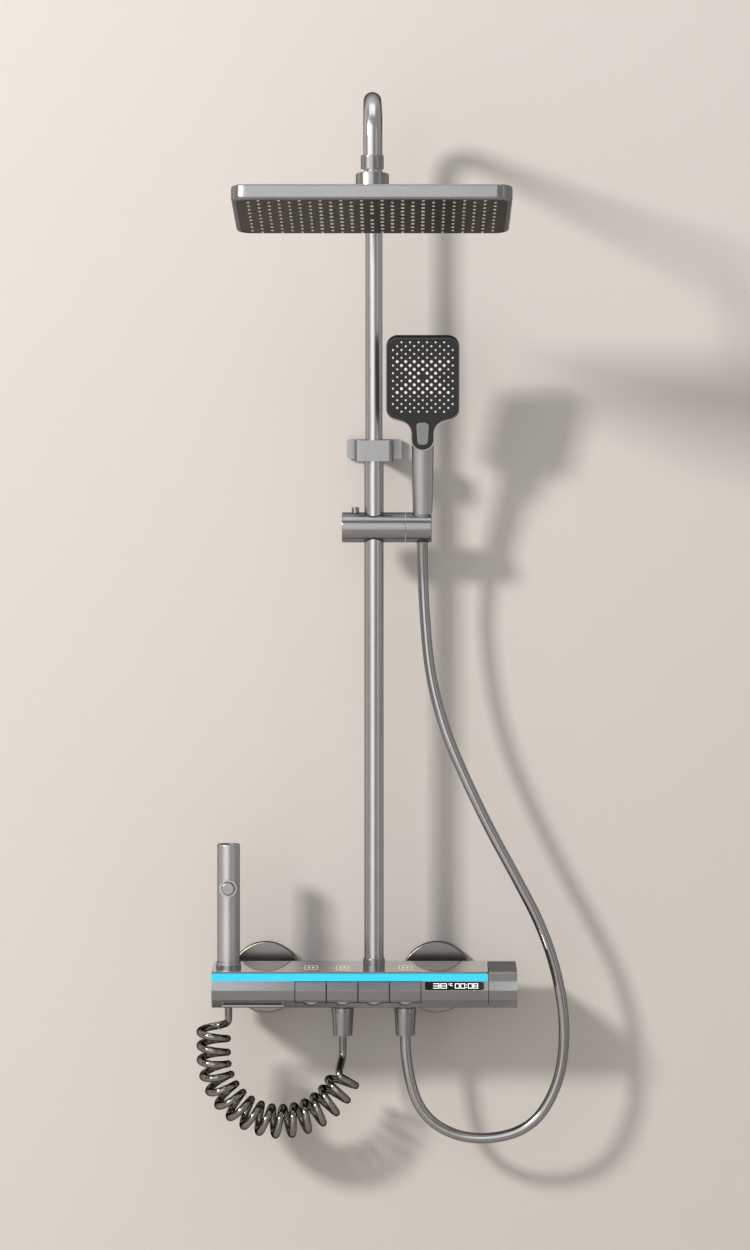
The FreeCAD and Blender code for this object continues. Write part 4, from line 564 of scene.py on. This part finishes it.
class ShowerCurlyHose(bpy.types.Operator):
    """Make the curly hose of the hand spray"""

    bl_idname = "shower.curly_hose"
    bl_label = "Make the curly hose"

    def execute(self, context):
        route = curl_route()
        piece, line = tube("curly_hose_skin", route, sizes().curl_diameter, CURL_LINE_STEPS)
        dress_piece(piece, curl_film())
        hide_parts("coil_hose")
        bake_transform(piece)
        return {"FINISHED"}


# Display and signs

# Figures of the temperature and of the time, with their left edges in millimetres from the window's middle
DEGREES = (("3", -24.5), ("8", -16.0))
DEGREE_WIDTH = 7.2
CLOCK = (("0", 0.6), ("0", 6.9), ("0", 15.4), ("8", 21.6))
CLOCK_WIDTH = 5.2
COLON_X = 13.7
COLON_HEIGHTS = (-1.8, 1.8)
UNIT_LEFT = -5.0
UNIT_WIDTH = 2.8
UNIT_STROKE = 0.6
DEGREE_DOT_X = -6.4
DEGREE_DOT_DROP = 0.7
SIGN_PLACES = (-45.35, -9.25, 62.95)
SIGN_THICK = 0.1
SIGN_LINE = 0.8
SIGN_MARK_X = 2.4
SEGMENTS = {"0": "abcdef", "3": "abcdg", "8": "abcdefg", "C": "adef"}


def bar(centre, width, height, thick):
    """A small flat block lying in the drawing plane, in millimetres."""
    bpy.ops.mesh.primitive_cube_add(size=1.0, location=(centre[0] * MM, centre[1] * MM, 0))
    made = bpy.context.active_object
    made.scale = (width * MM, height * MM, thick * MM)
    return made


def digit(letter, left, low, width, height, stroke, thick):
    """The bars of one seven-segment figure."""
    right = left + width - stroke
    top = low + height - stroke
    middle = low + (height - stroke) / 2
    half = (height - stroke) / 2
    across = left + width / 2
    places = {
        "a": ((across, top + stroke / 2), width, stroke),
        "g": ((across, middle + stroke / 2), width, stroke),
        "d": ((across, low + stroke / 2), width, stroke),
        "f": ((left + stroke / 2, middle + stroke / 2 + half / 2), stroke, half),
        "b": ((right + stroke / 2, middle + stroke / 2 + half / 2), stroke, half),
        "e": ((left + stroke / 2, middle + stroke / 2 - half / 2), stroke, half),
        "c": ((right + stroke / 2, middle + stroke / 2 - half / 2), stroke, half),
    }
    return [bar(*places[name], thick) for name in SEGMENTS[letter]]


def joined(name, pieces, place):
    """One mesh from flat pieces, set into the shared frame by a matrix."""
    bpy.ops.object.select_all(action="DESELECT")
    for piece in pieces:
        piece.select_set(True)
    bpy.context.view_layer.objects.active = pieces[0]
    bpy.ops.object.join()
    made = bpy.context.active_object
    made.name = name
    bpy.ops.object.transform_apply(location=True, rotation=True, scale=True)
    made.matrix_world = place
    bpy.ops.object.transform_apply(location=True, rotation=True, scale=True)
    return made


def plane_matrix(origin, across, up):
    """A matrix that lays the drawing plane at a place in the shared frame."""
    normal = across.cross(up)
    return Matrix(((across.x, up.x, normal.x, origin.x), (across.y, up.y, normal.y, origin.y),
                   (across.z, up.z, normal.z, origin.z), (0, 0, 0, 1)))


class ShowerDisplay(bpy.types.Operator):
    """Make the lit figures of the display"""

    bl_idname = "shower.display"
    bl_label = "Make the display figures"

    def execute(self, context):
        s = sizes()
        tall = s.figure_height
        stroke = s.figure_stroke
        thick = s.figure_thick
        low = -tall / 2
        pieces = []
        for letter, left in DEGREES:
            pieces.extend(digit(letter, left, low, DEGREE_WIDTH, tall, stroke, thick))
        for letter, left in CLOCK:
            pieces.extend(digit(letter, left, low, CLOCK_WIDTH, tall, stroke, thick))
        pieces.extend(digit("C", UNIT_LEFT, 0.0, UNIT_WIDTH, tall / 2, UNIT_STROKE, thick))
        pieces.append(bar((DEGREE_DOT_X, tall / 2 - DEGREE_DOT_DROP), 1.0, 1.0, thick))
        for height in COLON_HEIGHTS:
            pieces.append(bar((COLON_X, height), 0.9, 1.1, thick))
        across = Vector((1, 0, 0))
        up = Vector((0, s.nose_out - s.strip_out, s.strip_bottom)).normalized()
        window_low, window_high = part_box("display_window")
        middle_x = (window_low.x + window_high.x) / 2 / MM
        front = row_point(middle_x, (s.nose_out + s.strip_out) / 2, s.strip_bottom / 2)
        made = joined("display_figures", pieces, plane_matrix(front, across, up))
        dress_piece(made, lit_white())
        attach(made, "valve")
        return {"FINISHED"}


class ShowerIcons(bpy.types.Operator):
    """Make the small signs printed on the glass"""

    bl_idname = "shower.icons"
    bl_label = "Make the signs on the glass"

    def execute(self, context):
        s = sizes()
        line = SIGN_LINE
        pieces = []
        for x in SIGN_PLACES:
            for side in (-1, 1):
                across = side * (s.sign_width - line) / 2
                along = side * (s.sign_depth - line) / 2
                pieces.append(bar((x, along - s.sign_out), s.sign_width, 3 * line, SIGN_THICK))
                pieces.append(bar((x + across, -s.sign_out), line, s.sign_depth, SIGN_THICK))
                mark_x = x + side * SIGN_MARK_X
                pieces.append(bar((mark_x, -s.sign_out), 3 * line, s.sign_depth / 3, SIGN_THICK))
        up_plane = plane_matrix(Vector((0, 0, s.glass_top * MM)), Vector((1, 0, 0)), Vector((0, 1, 0)))
        made = joined("glass_signs", pieces, up_plane)
        dress_piece(made, plastic("white printed ink", "#E8EAEA", "#DDE0E0", 0.5, 0.6, 0.0))
        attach(made, "valve")
        return {"FINISHED"}


# Stage

FILL = (0.29, 0.275, 0.26, 1)
MIDDLE = (0.0, -0.1, 0.45)
UPRIGHT = (math.radians(90), 0, 0)
CAMERA_PLACE = (0.0569, -5.5, 0.7427)
CAMERA_LENS = 135.1
CAMERA_SHIFT = (-0.02, -0.228)


def area_lamp(name, place, aim, width, height, power, tint):
    data = bpy.data.lights.new(name, "AREA")
    data.shape = "RECTANGLE"
    data.size = width
    data.size_y = height
    data.energy = power
    data.color = linear(tint)[:3]
    lamp = bpy.data.objects.new(name, data)
    lamp.location = place
    lamp.rotation_euler = (Vector(aim) - Vector(place)).to_track_quat("-Z", "Y").to_euler()
    bpy.context.scene.collection.objects.link(lamp)
    return lamp


def pale_wall_material():
    """Plain pale paint that shows from the front only."""
    made, tree, surface = new_material("pale wall paint")
    cloud = noise(tree, 300.0, 2.0)
    tree.links.new(blend_colours(tree, spread_range(tree, cloud, 0, 1), colours().wall, "#C4C0BC"),
                   surface.inputs["Base Color"])
    surface.inputs["Roughness"].default_value = 0.9
    surface.inputs["Specular IOR Level"].default_value = 0.1
    clear = tree.nodes.new("ShaderNodeBsdfTransparent")
    side = tree.nodes.new("ShaderNodeNewGeometry")
    choice = tree.nodes.new("ShaderNodeMixShader")
    tree.links.new(side.outputs["Backfacing"], choice.inputs["Fac"])
    tree.links.new(surface.outputs["BSDF"], choice.inputs[1])
    tree.links.new(clear.outputs["BSDF"], choice.inputs[2])
    tree.links.new(choice.outputs["Shader"], tree.nodes["Material Output"].inputs["Surface"])
    return made


def flat_sheet(name, width, depth, place, turn, made):
    bpy.ops.mesh.primitive_plane_add(size=1.0, location=place, rotation=turn)
    sheet = bpy.context.active_object
    sheet.name = name
    sheet.scale = (width, depth, 1.0)
    sheet.data.materials.append(made)
    return sheet


def either(tree, first, second):
    """One where at least one of two shares is one."""
    node = tree.nodes.new("ShaderNodeMath")
    node.operation = "MAXIMUM"
    tree.links.new(first, node.inputs[0])
    tree.links.new(second, node.inputs[1])
    return node.outputs["Value"]


def studio_world():
    """A soft fill on the surfaces, and a paler background that the eye, metal and glass see."""
    world = bpy.data.worlds.new("soft studio")
    bpy.context.scene.world = world
    world.use_nodes = True
    tree = world.node_tree
    back = tree.nodes["Background"]
    path = tree.nodes.new("ShaderNodeLightPath")
    back.inputs["Strength"].default_value = 1.0
    seen = either(tree, path.outputs["Is Camera Ray"], path.outputs["Is Glossy Ray"])
    seen = either(tree, seen, path.outputs["Is Transmission Ray"])
    tone = blend_colours(tree, seen, FILL, linear(colours().surround))
    tree.links.new(tone, back.inputs["Color"])


class ShowerStage(bpy.types.Operator):
    """Make the floor, the wall behind, the lamps and the camera"""

    bl_idname = "shower.stage"
    bl_label = "Make the stage"

    def execute(self, context):
        paint = pale_wall_material()
        flat_sheet("wall", 8.0, 6.0, (0, 0.004, 1.2), UPRIGHT, paint)
        flat_sheet("floor", 8.0, 8.0, (0, -3.9, -0.75), (0, 0, 0), paint)
        studio_world()
        area_lamp("key lamp", (-3.2, -3.3, 2.4), (0.0, -0.1, 0.4), 0.6, 0.6, 225.0, "#FFFAF4")
        area_lamp("broad softbox", (-1.3, -4.6, 1.3), MIDDLE, 3.6, 4.4, 66.0, "#FFFFFF")
        area_lamp("right softbox", (2.6, -2.3, 0.5), MIDDLE, 0.6, 3.2, 4.0, "#FFFFFF")
        area_lamp("top softbox", (0.0, -0.8, 2.7), (0.0, -0.2, 0.0), 2.0, 1.2, 13.0, "#F4FBFF")
        data = bpy.data.cameras.new("camera")
        data.lens = CAMERA_LENS
        data.sensor_width = 36.0
        data.shift_x, data.shift_y = CAMERA_SHIFT
        camera = bpy.data.objects.new("camera", data)
        camera.location = CAMERA_PLACE
        camera.rotation_euler = UPRIGHT
        context.scene.collection.objects.link(camera)
        context.scene.camera = camera
        context.scene.view_settings.view_transform = "Standard"
        return {"FINISHED"}


class ShowerPanel(bpy.types.Panel):
    """Buttons for each group of pieces"""

    bl_idname = "VIEW3D_PT_shower"
    bl_label = "Shower system"
    bl_space_type = "VIEW_3D"
    bl_region_type = "UI"
    bl_category = "Shower"

    def draw(self, context):
        for operator in OPERATORS:
            self.layout.operator(operator.bl_idname)


OPERATORS = (ShowerSolids, ShowerHandHose, ShowerCurlyHose, ShowerDisplay, ShowerIcons, ShowerStage)
CLASSES = (ShowerSizes, ShowerColours, *OPERATORS, ShowerPanel)


def register():
    for cls in CLASSES:
        bpy.utils.register_class(cls)
    bpy.types.Scene.shower_sizes = bpy.props.PointerProperty(type=ShowerSizes)
    bpy.types.Scene.shower_colours = bpy.props.PointerProperty(type=ShowerColours)


def unregister():
    del bpy.types.Scene.shower_colours
    del bpy.types.Scene.shower_sizes
    for cls in reversed(CLASSES):
        bpy.utils.unregister_class(cls)


def main():
    register()
    bpy.ops.shower.solids()
    bpy.ops.shower.hand_hose()
    bpy.ops.shower.curly_hose()
    bpy.ops.shower.display()
    bpy.ops.shower.icons()
    bpy.ops.shower.stage()


if __name__ == "__main__":
    main()
